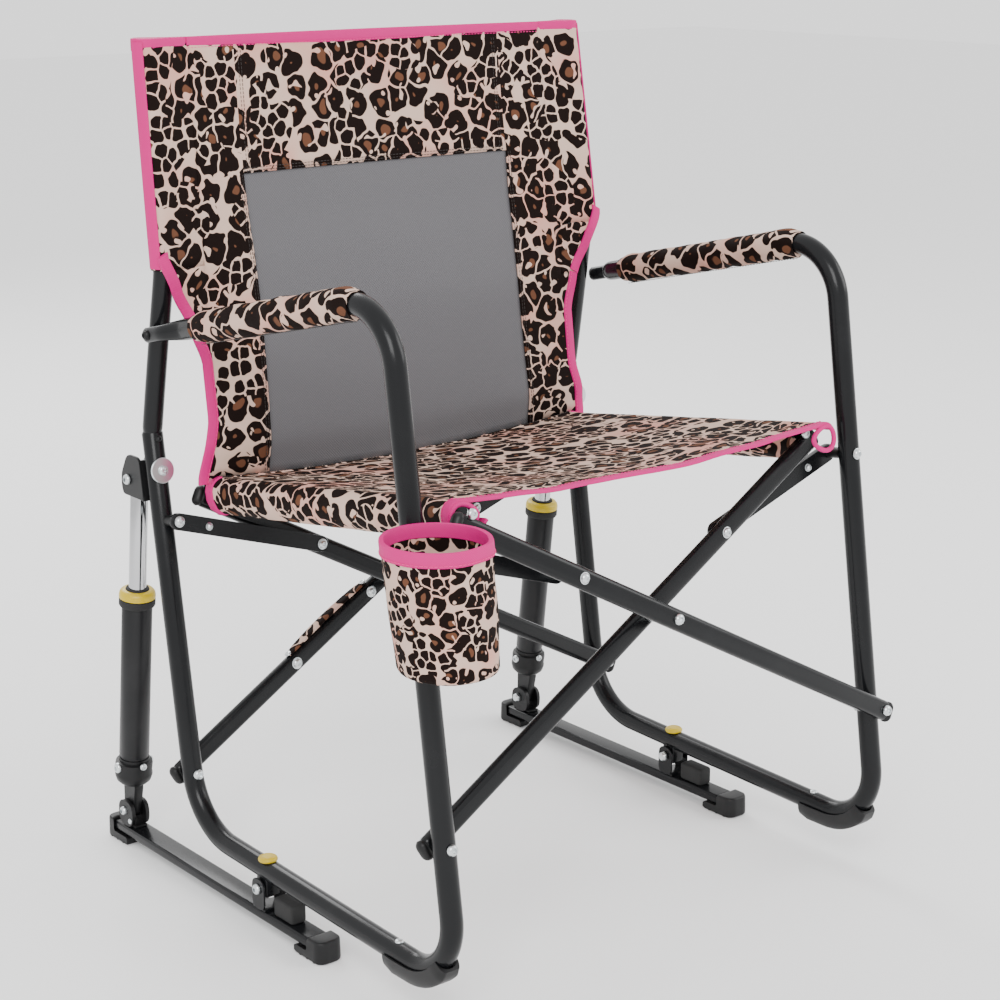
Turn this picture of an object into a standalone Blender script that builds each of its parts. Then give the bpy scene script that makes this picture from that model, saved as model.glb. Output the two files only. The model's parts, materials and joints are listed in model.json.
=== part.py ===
"""Folding camp rocking chair with spring struts, modelled as separate real pieces.

Metres, +Z up.  The sitter looks along -Y, so +X is the sitter's left.  The chair is laid out
in side-view coordinates (y rearwards, z up) and then stood on the origin, which is the
middle of its footprint at floor level.
"""
import math

import bpy
import bmesh
from mathutils import Matrix, Vector

# ---- driving dimensions -------------------------------------------------------------------
HALF_TRACK = 0.2856          # side frame centre line from the middle of the chair
TUBE_R = 0.0110              # main frame tube
UPRIGHT_R = 0.0105           # back upright tube
RAIL_R = 0.0078              # seat rail tube
FIT_GAP = 0.0005             # between pieces that touch
BOLT_R = 0.0030              # pivot bolt shank
BOLT_CLEARANCE = 0.0006      # hole over shank, on the radius
BOLT_HOLE_R = BOLT_R + BOLT_CLEARANCE
DRILL_REACH = 0.0800         # longer than any piece a bolt passes through
BOLT_HEAD_R = 0.0065
BOLT_HEAD_H = 0.0040
PIVOT_WASHER = 0.0030        # nylon washer between a leg and its scissor bar
NUT_R = 0.0056
NUT_H = 0.0042

LEG_LEAN = math.radians(8.5)     # both legs lean back at the top; the scissor planes follow
FRONT_PLANE_S = -0.0750          # front leg, measured square to the legs
REAR_PLANE_S = 0.3655            # rear leg

GROUND_RAIL_Z = 0.0540           # tube centre at the front of the ground rail
GROUND_RAIL_RISE = 0.025         # rise per metre rearwards
ARM_FRONT_Z = 0.6830             # where the leg and armrest centre lines would cross
ARM_FALL = 0.2327                # drop per metre rearwards
FRONT_FOOT_BEND_R = 0.0570
ARM_BEND_R = 0.0600
ARM_END_SCALE = 0.60             # swaged rear end of the armrest tube
ARM_SWAGE_START = 0.0600         # swage begins this far ahead of the upright
ARM_SWAGE_LENGTH = 0.0720
LEG_TOP_Z = 0.4835               # rear leg ends here and the back upright starts

LUMBAR_Z = 0.6600                # forward kink of the back upright
LUMBAR_AHEAD = 0.0313            # kink ahead of the rear leg's top end
BACK_TOP_Z = 0.8790
BACK_TOP_BEHIND = 0.0300         # top end behind the kink
UPRIGHT_SPIGOT = 0.0120          # upright in line with the leg before it leans

FOLD_SPREAD_ANGLE = math.radians(28.8)   # scissor bar above level, chair open
PIVOT_LOW_V = 0.1780             # lower scissor pivots, measured along the legs
LINK_LEG_V = 0.4520              # stay link pivots on the legs
LINK_ARM = 0.1294                # stay link pivot up the bar from the crossing
RAIL_INSET = 0.0456              # seat rail inboard of the side frame
RAIL_STAND_OFF = 0.0123          # seat rail above the bar centre line
BAR_WIDTH = 0.0210
BAR_THICK = 0.0130
BAR_EDGE = 0.0055                # rounding of the bar's long edges
BAR_TAIL = 0.0140                # bar beyond its lower pivot
BAR_TIP = 0.0120                 # bar beyond the seat rail
LINK_WIDTH = 0.0180
LINK_THICK = 0.0070
LINK_TAIL = 0.0095
LINK_EDGE = 0.0030
CROSS_BUSH_R = 0.0060            # spacer between the crossing bars

ROCK_Y = 0.2458                  # rocking pivot
ROCK_Z = 0.0437
LUG_SIZE = 0.0180                # rocking lug under the ground rail, square
LUG_BELOW_PIVOT = 0.0095
BASE_FRONT_Y = 0.1340
BASE_REAR_BEHIND = 0.1864        # base bar's rear end behind the rear leg's line at the floor
BASE_BAR_WIDTH = 0.0260
BASE_BAR_THICK = 0.0110
CAP_LIP = 0.0092                 # foot lip under the base bar
CAP_WIDTH = 0.0300
CAP_HEIGHT = 0.0235
FRONT_CAP_DEPTH = 0.0240
REAR_CAP_DEPTH = 0.0145
CAP_LIP_LENGTH = 0.0460
FOOT_SOLE = 0.0065               # front foot pad below the tube
FOOT_CHEEK = 0.0025              # front foot pad beside the tube
FOOT_TAIL = 0.0360               # pad on the straight rail, behind the bend
FOOT_SPAN = math.radians(52.0)   # pad round the bend
RAIL_CAP_R = 0.0100
PIVOT_PLATE = 0.0020             # rocking bracket plates
PIVOT_PLATE_LENGTH = 0.0220
PIVOT_PLATE_ABOVE = 0.0110
CHANNEL_WEB = 0.0025
BUMPER_WIDTH = 0.0180
BUMPER_LENGTH = 0.0340
BUMPER_AHEAD = 0.0380            # bumper centre ahead of the rocking pivot
BUMPER_TRAVEL = 0.0085           # room between bumper and ground rail

STRUT_TOP_Z = 0.4300             # strut's upper pivot
STRUT_TOP_BEHIND = 0.0382        # and its distance behind the rear leg
STRUT_FOOT_Z = 0.0385            # strut's lower pivot
STRUT_FOOT_INSET = 0.0370        # and its distance ahead of the base bar's end
STRUT_SHOE_LENGTH = 0.0300
STRUT_SHOE_PLATE = 0.0045
STRUT_SHOE_ABOVE = 0.0120
HEAD_PLATE = 0.0032              # upper strut bracket plates
HEAD_WEB = 0.0060
HEAD_BELOW = 0.0180
HEAD_ABOVE = 0.0270
HEAD_REACH = 0.0150
HEAD_ROD_GAP = 0.0007
KNUCKLE_EYE_HALF = 0.0055
KNUCKLE_EYE_R = 0.0095
KNUCKLE_BORE_R = 0.0068
KNUCKLE_LOW = 0.0330             # socket's underside above the lower pivot
KNUCKLE_LIP = 0.0040             # socket over the cylinder, on the radius
KNUCKLE_SHOE_GAP = 0.0010
ROD_R = 0.0095
CYLINDER_R = 0.0165
CYLINDER_WALL = 0.0015
CYLINDER_FROM_FOOT = 0.0660      # cylinder bottom, along the strut from its lower pivot
CYLINDER_LENGTH = 0.1880
CYLINDER_FLOOR = 0.0040
COLLAR_LIP = 0.0033              # collar over the cylinder, on the radius
COLLAR_H = 0.0120
COLLAR_EDGE = 0.0030
ROD_HEAD = 0.0110                # rod beyond the upper pivot
ROD_ENGAGED = 0.0450             # rod inside the cylinder at rest
SPRING_WIRE_R = 0.0018
SPRING_TURNS = 8

SLEEVE_WALL = 0.0045             # padded armrest cover
ARM_SLEEVE_FRONT_Y = 0.0700
ARM_SLEEVE_REAR_Y = 0.3450
FABRIC = 0.0030
SEAT_DROP = 0.0010
SEAT_REAR_GAP = 0.0140           # seat fabric ahead of the rear bar a
BACK_ABOVE_SEAT = 0.0123         # back fabric's lower edge above the seat's rear edge
BACK_AHEAD_OF_SEAT = 0.0025
BACK_OVERHANG = 0.0145           # back fabric outside the upright centre line
BACK_WAIST_INSET = 0.0376        # fabric edge inboard of the side frame, below the armrests
BACK_WAIST_TUCK = 0.0060
BACK_WAIST_FLARE = 0.0040
BACK_SHOULDER = 0.0060           # full width begins this far above the kink
WINDOW_HALF = 0.1735
WINDOW_SILL = 0.0120             # fabric below the window
WINDOW_TOP_Z = 0.7450
WINDOW_EDGE_GAP = 0.0006
BACK_TOP_HEM = 0.0050            # fabric above the upright's end

CUP_RIM_R = 0.0500
CUP_FOOT_R = 0.0455
CUP_DEPTH = 0.1150
CUP_WALL = 0.0030
CUP_RIM_Z = 0.4850
CUP_OUTBOARD = math.radians(17.0)
CUP_LEG_GAP = 0.0012
CUP_FOOT_EDGE = 0.0060

HANDLE_LENGTH = 0.1240
HANDLE_THICK = 0.0030
HANDLE_DOWN_BAR = 0.0880         # handle's middle below the crossing

SIDES = (("right", -1.0), ("left", 1.0))
COLLECTION_NAME = "camp_rocking_chair"

FINISHES = {
    "tube": ((0.030, 0.032, 0.036, 1.0), 0.32, 0.6),
    "plastic": ((0.012, 0.012, 0.013, 1.0), 0.50, 0.0),
    "rubber": ((0.010, 0.010, 0.010, 1.0), 0.85, 0.0),
    "cylinder": ((0.016, 0.016, 0.018, 1.0), 0.45, 0.2),
    "chrome": ((0.80, 0.80, 0.80, 1.0), 0.12, 1.0),
    "zinc": ((0.62, 0.64, 0.65, 1.0), 0.35, 1.0),
    "yellow": ((0.72, 0.55, 0.02, 1.0), 0.45, 0.0),
    "print": ((0.62, 0.45, 0.36, 1.0), 0.85, 0.0),
    "mesh": ((0.20, 0.20, 0.22, 1.0), 0.80, 0.0),
}


# ---- scene set-up -------------------------------------------------------------------------
def clear_scene():
    for obj in list(bpy.data.objects):
        bpy.data.objects.remove(obj, do_unlink=True)


def new_collection(name):
    collection = bpy.data.collections.new(name)
    bpy.context.scene.collection.children.link(collection)
    return collection


clear_scene()
PARTS = new_collection(COLLECTION_NAME)
CUTTERS = new_collection("cutters")


def finish_material(name, finish):
    color, roughness, metallic = FINISHES[finish]
    material = bpy.data.materials.new(name + "_finish")
    material.use_nodes = True
    shader = material.node_tree.nodes["Principled BSDF"]
    shader.inputs["Base Color"].default_value = color
    shader.inputs["Roughness"].default_value = roughness
    shader.inputs["Metallic"].default_value = metallic
    material.diffuse_color = color
    return material


def add_part(name, data, finish, collection=None):
    obj = bpy.data.objects.new(name, data)
    (collection or PARTS).objects.link(obj)
    if finish:
        data.materials.append(finish_material(name, finish))
    return obj


def add_cutter(name, data):
    cutter = add_part(name, data, None, CUTTERS)
    cutter.hide_render = True
    cutter.display_type = "WIRE"
    return cutter


# ---- geometry helpers ---------------------------------------------------------------------
def side_point(side, y, z, out=0.0):
    """A point in one side frame's plane, moved outboard by out."""
    return Vector((side * (HALF_TRACK + out), y, z))


def leg_y(plane_s, z):
    """Where a leg's centre line passes at height z."""
    return (plane_s + z * math.sin(LEG_LEAN)) / math.cos(LEG_LEAN)


LUMBAR_Y = leg_y(REAR_PLANE_S, LEG_TOP_Z) - LUMBAR_AHEAD
BACK_TOP_Y = LUMBAR_Y + BACK_TOP_BEHIND
BASE_REAR_Y = leg_y(REAR_PLANE_S, 0.0) + BASE_REAR_BEHIND
STRUT_TOP_Y = leg_y(REAR_PLANE_S, STRUT_TOP_Z) + STRUT_TOP_BEHIND
STRUT_FOOT_Y = BASE_REAR_Y - STRUT_FOOT_INSET
RAIL_HALF = HALF_TRACK - RAIL_INSET
RAIL_ARM = ((RAIL_HALF + RAIL_STAND_OFF * math.sin(FOLD_SPREAD_ANGLE))
            / math.cos(FOLD_SPREAD_ANGLE))   # seat rail up the bar from the crossing

LEG_NORMAL = Vector((0.0, math.cos(LEG_LEAN), -math.sin(LEG_LEAN)))
LEG_UP = Vector((0.0, math.sin(LEG_LEAN), math.cos(LEG_LEAN)))
ACROSS = Vector((1.0, 0.0, 0.0))


def fold_point(u, s, v):
    """u across the chair, s square to the legs rearwards, v up along the legs."""
    return ACROSS * u + LEG_NORMAL * s + LEG_UP * v


def axes_matrix(origin, x_dir, z_dir):
    """Local X along x_dir and local Z along z_dir, at origin."""
    x_axis = Vector(x_dir).normalized()
    z_axis = Vector(z_dir).normalized()
    y_axis = z_axis.cross(x_axis)
    matrix = Matrix((x_axis, y_axis, z_axis)).transposed().to_4x4()
    matrix.translation = origin
    return matrix


def bend_points(corners, step=math.radians(11.0)):
    """Points of a path whose inner corners are rounded: each corner is (point, radius)."""
    points = [Vector(corners[0][0])]
    for index in range(1, len(corners) - 1):
        corner = Vector(corners[index][0])
        radius = corners[index][1]
        back = (Vector(corners[index - 1][0]) - corner).normalized()
        ahead = (Vector(corners[index + 1][0]) - corner).normalized()
        half = 0.5 * back.angle(ahead)
        centre = corner + (back + ahead).normalized() * (radius / math.sin(half))
        start = corner + back * (radius / math.tan(half)) - centre
        end = corner + ahead * (radius / math.tan(half)) - centre
        sweep = start.angle(end)
        count = max(2, round(sweep / step))
        for k in range(count + 1):
            t = k / count
            weight_start = math.sin((1.0 - t) * sweep) / math.sin(sweep)
            weight_end = math.sin(t * sweep) / math.sin(sweep)
            points.append(centre + start * weight_start + end * weight_end)
    points.append(Vector(corners[-1][0]))
    return points


def tube_data(name, points, radius, scales=None, resolution=4, caps=True):
    curve = bpy.data.curves.new(name, "CURVE")
    curve.dimensions = "3D"
    curve.bevel_depth = radius
    curve.bevel_resolution = resolution
    curve.use_fill_caps = caps
    spline = curve.splines.new("POLY")
    spline.points.add(len(points) - 1)
    for index, point in enumerate(points):
        spline.points[index].co = (point[0], point[1], point[2], 1.0)
        spline.points[index].radius = scales[index] if scales else 1.0
    return curve


def mesh_from(obj):
    """Turn a curve object into a welded mesh object of the same name and place."""
    name = obj.name
    depsgraph = bpy.context.evaluated_depsgraph_get()
    mesh = bpy.data.meshes.new_from_object(obj.evaluated_get(depsgraph))
    work = bmesh.new()
    work.from_mesh(mesh)
    bmesh.ops.remove_doubles(work, verts=work.verts, dist=0.00005)
    work.to_mesh(mesh)
    work.free()
    matrix = obj.matrix_world.copy()
    collection = obj.users_collection[0]
    bpy.data.objects.remove(obj, do_unlink=True)
    mesh.name = name
    solid = bpy.data.objects.new(name, mesh)
    solid.matrix_world = matrix
    collection.objects.link(solid)
    return solid


def tube(name, points, radius, finish, **options):
    return add_part(name, tube_data(name, points, radius, **options), finish)


def tube_cutter(name, points, radius, resolution=4):
    cutter = add_cutter(name, tube_data(name, points, radius, resolution=resolution))
    cutter = mesh_from(cutter)
    cutter.hide_render = True
    cutter.display_type = "WIRE"
    return cutter


def side_outline(name, outline, side_x, width, finish, bevel=0.0, segments=2):
    """A (y, z) outline made solid across X, centred on side_x."""
    curve = bpy.data.curves.new(name, "CURVE")
    curve.dimensions = "2D"
    curve.fill_mode = "BOTH"
    curve.extrude = 0.5 * width
    spline = curve.splines.new("POLY")
    spline.points.add(len(outline) - 1)
    for index, (y, z) in enumerate(outline):
        spline.points[index].co = (y, z, 0.0, 1.0)
    spline.use_cyclic_u = True
    obj = add_part(name, curve, finish)
    obj.matrix_world = Matrix(((0, 0, 1, side_x), (1, 0, 0, 0), (0, 1, 0, 0), (0, 0, 0, 1)))
    bpy.context.view_layer.update()
    obj = mesh_from(obj)
    if bevel:
        round_edges(obj, bevel, segments)
    return obj


def round_edges(obj, width, segments=2, angle=math.radians(40.0)):
    bevel = obj.modifiers.new("round", "BEVEL")
    bevel.width = width
    bevel.segments = segments
    bevel.limit_method = "ANGLE"
    bevel.angle_limit = angle


def block_mesh(name, size):
    mesh = bpy.data.meshes.new(name)
    work = bmesh.new()
    bmesh.ops.create_cube(work, size=1.0)
    bmesh.ops.scale(work, vec=size, verts=work.verts)
    work.to_mesh(mesh)
    work.free()
    return mesh


def block(name, size, matrix, finish, bevel=0.0, segments=2):
    obj = add_part(name, block_mesh(name, size), finish)
    obj.matrix_world = matrix
    if bevel:
        round_edges(obj, bevel, segments)
    return obj


def turned(name, profile, origin, axis, finish, steps=16, closed=False):
    """Turn (radius, height) points about axis.  The profile runs down its outer side."""
    mesh = bpy.data.meshes.new(name)
    work = bmesh.new()
    corners = [work.verts.new((radius, 0.0, height)) for radius, height in profile]
    for first, second in zip(corners, corners[1:]):
        work.edges.new((first, second))
    if closed:
        work.edges.new((corners[-1], corners[0]))
    work.to_mesh(mesh)
    work.free()
    obj = add_part(name, mesh, finish)
    screw = obj.modifiers.new("turn", "SCREW")
    screw.axis = "Z"
    screw.steps = steps
    screw.render_steps = steps
    screw.use_merge_vertices = True
    screw.merge_threshold = 0.00005
    helper = Vector((1.0, 0.0, 0.0)) if abs(Vector(axis).normalized().x) < 0.9 else LEG_UP
    x_dir = helper - Vector(axis).normalized() * helper.dot(Vector(axis).normalized())
    obj.matrix_world = axes_matrix(origin, x_dir, axis)
    return obj


def boolean(obj, cutter, operation="DIFFERENCE"):
    modifier = obj.modifiers.new(operation.lower(), "BOOLEAN")
    modifier.operation = operation
    modifier.solver = "EXACT"
    modifier.object = cutter


def drill(obj, name, centre, axis, radius, length, segments=16):
    mesh = bpy.data.meshes.new(name)
    work = bmesh.new()
    bmesh.ops.create_cone(work, cap_ends=True, segments=segments, radius1=radius, radius2=radius,
                          depth=length)
    work.to_mesh(mesh)
    work.free()
    cutter = add_cutter(name, mesh)
    helper = Vector((1.0, 0.0, 0.0)) if abs(Vector(axis).normalized().x) < 0.9 else LEG_UP
    cutter.matrix_world = axes_matrix(centre, helper, axis)
    boolean(obj, cutter)


# ---- side frames --------------------------------------------------------------------------
def arm_z(y):
    return ARM_FRONT_Z - ARM_FALL * (y - leg_y(FRONT_PLANE_S, ARM_FRONT_Z))


def ground_rail_z(y):
    return GROUND_RAIL_Z + GROUND_RAIL_RISE * (y - leg_y(FRONT_PLANE_S, GROUND_RAIL_Z))


def upright_y(z):
    """Centre line of the back upright below the lumbar kink and above it."""
    foot = (leg_y(REAR_PLANE_S, LEG_TOP_Z), LEG_TOP_Z)
    lumbar = (LUMBAR_Y, LUMBAR_Z)
    low, high = (foot, lumbar) if z < LUMBAR_Z else (lumbar, (BACK_TOP_Y, BACK_TOP_Z))
    return low[0] + (high[0] - low[0]) * (z - low[1]) / (high[1] - low[1])


def arm_meets_upright():
    """Height and place where the armrest line crosses the upright line."""
    foot_y = leg_y(REAR_PLANE_S, LEG_TOP_Z)
    slope = (LUMBAR_Y - foot_y) / (LUMBAR_Z - LEG_TOP_Z)
    front_y = leg_y(FRONT_PLANE_S, ARM_FRONT_Z)
    z = (ARM_FRONT_Z - ARM_FALL * (foot_y - slope * LEG_TOP_Z - front_y)) / (1.0 + ARM_FALL * slope)
    return foot_y + slope * (z - LEG_TOP_Z), z


def rear_bend_radius(corner_z):
    """Largest rear bend that bar a's lower tail still clears by the pivot washer's thickness."""
    corner_v = (corner_z + REAR_PLANE_S * math.sin(LEG_LEAN)) / math.cos(LEG_LEAN)
    tail_drop = (BAR_TAIL * math.sin(FOLD_SPREAD_ANGLE)
                 + 0.5 * BAR_WIDTH * math.cos(FOLD_SPREAD_ANGLE))
    room = PIVOT_LOW_V - tail_drop - corner_v
    slope = math.tan(0.5 * (0.5 * math.pi + LEG_LEAN + math.atan(GROUND_RAIL_RISE)))
    ease = slope * math.sqrt(2.0 * PIVOT_WASHER)
    return (0.5 * (ease + math.sqrt(ease * ease + 4.0 * slope * room))) ** 2


def frame_path(side):
    """One bent tube: rear leg, ground rail, front leg and armrest."""
    rear_corner_z = ground_rail_z(leg_y(REAR_PLANE_S, GROUND_RAIL_Z))
    arm_end_y = arm_meets_upright()[0]
    swage_y = arm_end_y - ARM_SWAGE_START
    corners = [
        (side_point(side, leg_y(REAR_PLANE_S, LEG_TOP_Z), LEG_TOP_Z), 0.0),
        (side_point(side, leg_y(REAR_PLANE_S, rear_corner_z), rear_corner_z),
         rear_bend_radius(rear_corner_z)),
        (side_point(side, leg_y(FRONT_PLANE_S, GROUND_RAIL_Z), GROUND_RAIL_Z), FRONT_FOOT_BEND_R),
        (side_point(side, leg_y(FRONT_PLANE_S, ARM_FRONT_Z), ARM_FRONT_Z), ARM_BEND_R),
        (side_point(side, swage_y, arm_z(swage_y)), 0.0),
    ]
    points = bend_points(corners)
    scales = [1.0] * len(points)
    lap = UPRIGHT_R + FIT_GAP + TUBE_R * ARM_END_SCALE
    half_way = 0.5 * (1.0 + ARM_END_SCALE)
    for share, out, scale in ((0.28, 0.35, half_way), (0.56, 1.0, ARM_END_SCALE),
                              (1.0, 1.0, ARM_END_SCALE)):
        y = swage_y + share * ARM_SWAGE_LENGTH
        points.append(side_point(side, y, arm_z(y), lap * out))
        scales.append(scale)
    return points, scales


def path_between(side, y_low, y_high, above):
    """The part of the side frame path between two depths, above or below mid height."""
    points = [p for p in frame_path(side)[0] if (p.z > 0.5 * LEG_TOP_Z + 0.2) == above]
    points.sort(key=lambda p: p.y)
    line = arm_z if above else ground_rail_z
    kept = [p for p in points if y_low < p.y < y_high and abs(p.x - side * HALF_TRACK) < 0.001]
    first, last = kept[0], kept[-1]
    if first.y > y_low + 0.002:
        before = max((p for p in points if p.y <= y_low), key=lambda p: p.y, default=None)
        if before is not None:
            t = (y_low - before.y) / (first.y - before.y)
            kept.insert(0, before.lerp(first, t))
    kept.append(side_point(side, y_high, line(y_high)) if last.y < y_high - 0.002 else last)
    return kept


BAR_LAYER = TUBE_R + PIVOT_WASHER + 0.5 * BAR_THICK
PLANES = {"front": FRONT_PLANE_S, "rear": REAR_PLANE_S}


def link_layers(end):
    """Distances of the two stay links' mid planes from the leg plane (near link, far link)."""
    inner = TUBE_R + FIT_GAP + 0.5 * LINK_THICK
    outer = BAR_LAYER + 0.5 * BAR_THICK + FIT_GAP + 0.5 * LINK_THICK
    return {"front": {"right": inner, "left": outer}, "rear": {"right": -outer, "left": -inner}}[end]


def crossing_v():
    return PIVOT_LOW_V + HALF_TRACK * math.tan(FOLD_SPREAD_ANGLE)


def make_side_frames():
    for name, side in SIDES:
        points, scales = frame_path(side)
        raw = tube("side_frame_" + name, points, TUBE_R, "tube", scales=scales)
        frame = mesh_from(raw)
        lug_top = ground_rail_z(ROCK_Y)
        lug_low = ROCK_Z - LUG_BELOW_PIVOT
        lug_size = (LUG_SIZE, LUG_SIZE, lug_top - lug_low)
        lug = add_cutter("lug_" + name, block_mesh("lug_" + name, lug_size))
        lug.matrix_world = Matrix.Translation(side_point(side, ROCK_Y, 0.5 * (lug_top + lug_low)))
        boolean(frame, lug, "UNION")
        drill(frame, "rock_hole_" + name, side_point(side, ROCK_Y, ROCK_Z), ACROSS,
              BOLT_HOLE_R, DRILL_REACH)
        for end, plane in PLANES.items():
            drill(frame, end + "_pivot_hole_" + name,
                  fold_point(side * HALF_TRACK, plane, PIVOT_LOW_V), LEG_NORMAL, BOLT_HOLE_R, DRILL_REACH)


def make_back_uprights():
    for name, side in SIDES:
        foot_y = leg_y(REAR_PLANE_S, LEG_TOP_Z)
        base = side_point(side, foot_y, LEG_TOP_Z) + LEG_UP * FIT_GAP
        corners = [
            (base, 0.0),
            (base + LEG_UP * UPRIGHT_SPIGOT, 0.030),
            (side_point(side, LUMBAR_Y, LUMBAR_Z), 0.060),
            (side_point(side, BACK_TOP_Y, BACK_TOP_Z), 0.0),
        ]
        tube("back_upright_" + name, bend_points(corners), UPRIGHT_R, "tube")


def make_feet():
    """Front foot pad: a cradle under the front bend with a flat underside."""
    front_y = leg_y(FRONT_PLANE_S, GROUND_RAIL_Z)
    turn = math.radians(90.0) + LEG_LEAN
    tangent_y = front_y + FRONT_FOOT_BEND_R * math.tan(0.5 * turn)
    centre = (tangent_y, GROUND_RAIL_Z + FRONT_FOOT_BEND_R)
    sole_z = GROUND_RAIL_Z - TUBE_R - FOOT_SOLE
    outer = centre[1] - sole_z
    inner = FRONT_FOOT_BEND_R
    rear_y = tangent_y + FOOT_TAIL
    outline = [(rear_y, sole_z), (tangent_y, sole_z)]
    count = 6
    for k in range(1, count + 1):
        angle = FOOT_SPAN * k / count
        outline.append((centre[0] - outer * math.sin(angle), centre[1] - outer * math.cos(angle)))
    for k in range(count, -1, -1):
        angle = FOOT_SPAN * k / count
        outline.append((centre[0] - inner * math.sin(angle), centre[1] - inner * math.cos(angle)))
    outline.append((rear_y, GROUND_RAIL_Z))
    for name, side in SIDES:
        foot = side_outline("foot_" + name, outline, side * HALF_TRACK,
                            2.0 * (TUBE_R + FOOT_CHEEK), "plastic", bevel=0.0035)
        groove = tube_cutter("foot_groove_" + name,
                             [p for p in frame_path(side)[0] if p.z < 0.5 * LEG_TOP_Z],
                             TUBE_R + FIT_GAP, resolution=5)
        boolean(foot, groove)


def make_armrest_sleeves():
    for name, side in SIDES:
        points = path_between(side, ARM_SLEEVE_FRONT_Y, ARM_SLEEVE_REAR_Y, True)
        data = tube_data("armrest_sleeve_" + name, points, TUBE_R + FIT_GAP, caps=False)
        raw = add_part("armrest_sleeve_" + name, data, "print")
        sleeve = mesh_from(raw)
        solidify = sleeve.modifiers.new("padding", "SOLIDIFY")
        solidify.thickness = SLEEVE_WALL
        solidify.offset = 1.0


def make_rail_caps():
    """Round caps on top of the ground rail, over the rocking pivot."""
    for name, side in SIDES:
        top = ground_rail_z(ROCK_Y) + TUBE_R + FIT_GAP
        profile = [(0.0, 0.0034), (0.60 * RAIL_CAP_R, 0.0030), (0.92 * RAIL_CAP_R, 0.0016),
                   (RAIL_CAP_R, 0.0), (0.0, 0.0)]
        turned("rail_cap_" + name, profile, side_point(side, ROCK_Y, top), (0, 0, 1), "yellow")


# ---- scissor frame ------------------------------------------------------------------------
def bar_direction(side):
    """Up along the bar whose top end is at the given side."""
    return ACROSS * (side * math.cos(FOLD_SPREAD_ANGLE)) + LEG_UP * math.sin(FOLD_SPREAD_ANGLE)


def rail_centre(side):
    """u and v of a seat rail."""
    u = RAIL_ARM * math.cos(FOLD_SPREAD_ANGLE) - RAIL_STAND_OFF * math.sin(FOLD_SPREAD_ANGLE)
    v = crossing_v() + RAIL_ARM * math.sin(FOLD_SPREAD_ANGLE)
    return side * u, v + RAIL_STAND_OFF * math.cos(FOLD_SPREAD_ANGLE)


def bar_lower_arm():
    return HALF_TRACK / math.cos(FOLD_SPREAD_ANGLE)


def make_cross_bars():
    """Bar a rises to the sitter's right in front of the legs; bar b rises left behind them."""
    low = -(bar_lower_arm() + BAR_TAIL)
    high = RAIL_ARM + BAR_TIP
    for end, plane in PLANES.items():
        for bar, top_side, layer in (("a", -1.0, -BAR_LAYER), ("b", 1.0, BAR_LAYER)):
            direction = bar_direction(top_side)
            crossing = fold_point(0.0, plane + layer, crossing_v())
            matrix = axes_matrix(crossing + direction * (0.5 * (low + high)), direction, LEG_NORMAL)
            name = end + "_bar_" + bar
            rod = block(name, (high - low, BAR_WIDTH, BAR_THICK), matrix, "tube",
                        bevel=min(BAR_EDGE, 0.43 * BAR_THICK), segments=3)
            drill(rod, name + "_cross_hole", crossing, LEG_NORMAL, BOLT_HOLE_R, DRILL_REACH)
            pivot = crossing - direction * bar_lower_arm()
            drill(rod, name + "_pivot_hole", pivot, LEG_NORMAL, BOLT_HOLE_R, DRILL_REACH)


def make_stay_links():
    for end, plane in PLANES.items():
        layers = link_layers(end)
        for name, side in SIDES:
            layer = plane + layers[name]
            at_leg = fold_point(side * HALF_TRACK, layer, LINK_LEG_V)
            bar_u = side * LINK_ARM * math.cos(FOLD_SPREAD_ANGLE)
            at_bar = fold_point(bar_u, layer, crossing_v() + LINK_ARM * math.sin(FOLD_SPREAD_ANGLE))
            direction = (at_bar - at_leg).normalized()
            length = (at_bar - at_leg).length + 2.0 * LINK_TAIL
            block(end + "_link_" + name, (length, LINK_WIDTH, LINK_THICK),
                  axes_matrix(0.5 * (at_leg + at_bar), direction, LEG_NORMAL), "tube",
                  bevel=min(LINK_EDGE, 0.43 * LINK_THICK), segments=2)


def make_seat_rails():
    for name, side in SIDES:
        u, v = rail_centre(side)
        layer = -BAR_LAYER if side < 0 else BAR_LAYER
        shy = 0.5 * BAR_THICK + FIT_GAP
        front = fold_point(u, FRONT_PLANE_S + layer + shy, v)
        rear = fold_point(u, REAR_PLANE_S + layer - shy, v)
        tube("seat_rail_" + name, [front, front.lerp(rear, 0.5), rear], RAIL_R, "tube")


def bolt_profile(length, bush=None):
    """Head, shank, optional bush between two heights, and nut, from the top down."""
    profile = [(0.0, length + BOLT_HEAD_H), (0.6 * BOLT_HEAD_R, length + BOLT_HEAD_H),
               (BOLT_HEAD_R, length + 0.5 * BOLT_HEAD_H), (BOLT_HEAD_R, length), (BOLT_R, length)]
    if bush:
        high, low, radius = bush
        profile += [(BOLT_R, high), (radius, high), (radius, low), (BOLT_R, low)]
    profile += [(BOLT_R, 0.0), (NUT_R, 0.0), (NUT_R, -NUT_H), (0.0, -NUT_H)]
    return profile


def make_scissor_bolts():
    """Pivot bolts with their heads at the front."""
    for end, plane in PLANES.items():
        reach = BAR_LAYER + 0.5 * BAR_THICK + FIT_GAP
        bush = (2.0 * reach - BAR_THICK - 2.0 * FIT_GAP, BAR_THICK + 2.0 * FIT_GAP, CROSS_BUSH_R)
        turned("cross_bolt_" + end, bolt_profile(2.0 * reach, bush=bush),
               fold_point(0.0, plane + reach, crossing_v()), -LEG_NORMAL, "zinc", steps=12)
        tube_face = TUBE_R + 4.0 * FIT_GAP
        for name, side in SIDES:
            # the right pivot carries bar b behind the leg, the left one bar a in front of it
            rear = reach if side < 0 else tube_face
            turned(end + "_pivot_bolt_" + name, bolt_profile(reach + tube_face),
                   fold_point(side * HALF_TRACK, plane + rear, PIVOT_LOW_V), -LEG_NORMAL, "zinc",
                   steps=12)


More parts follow.
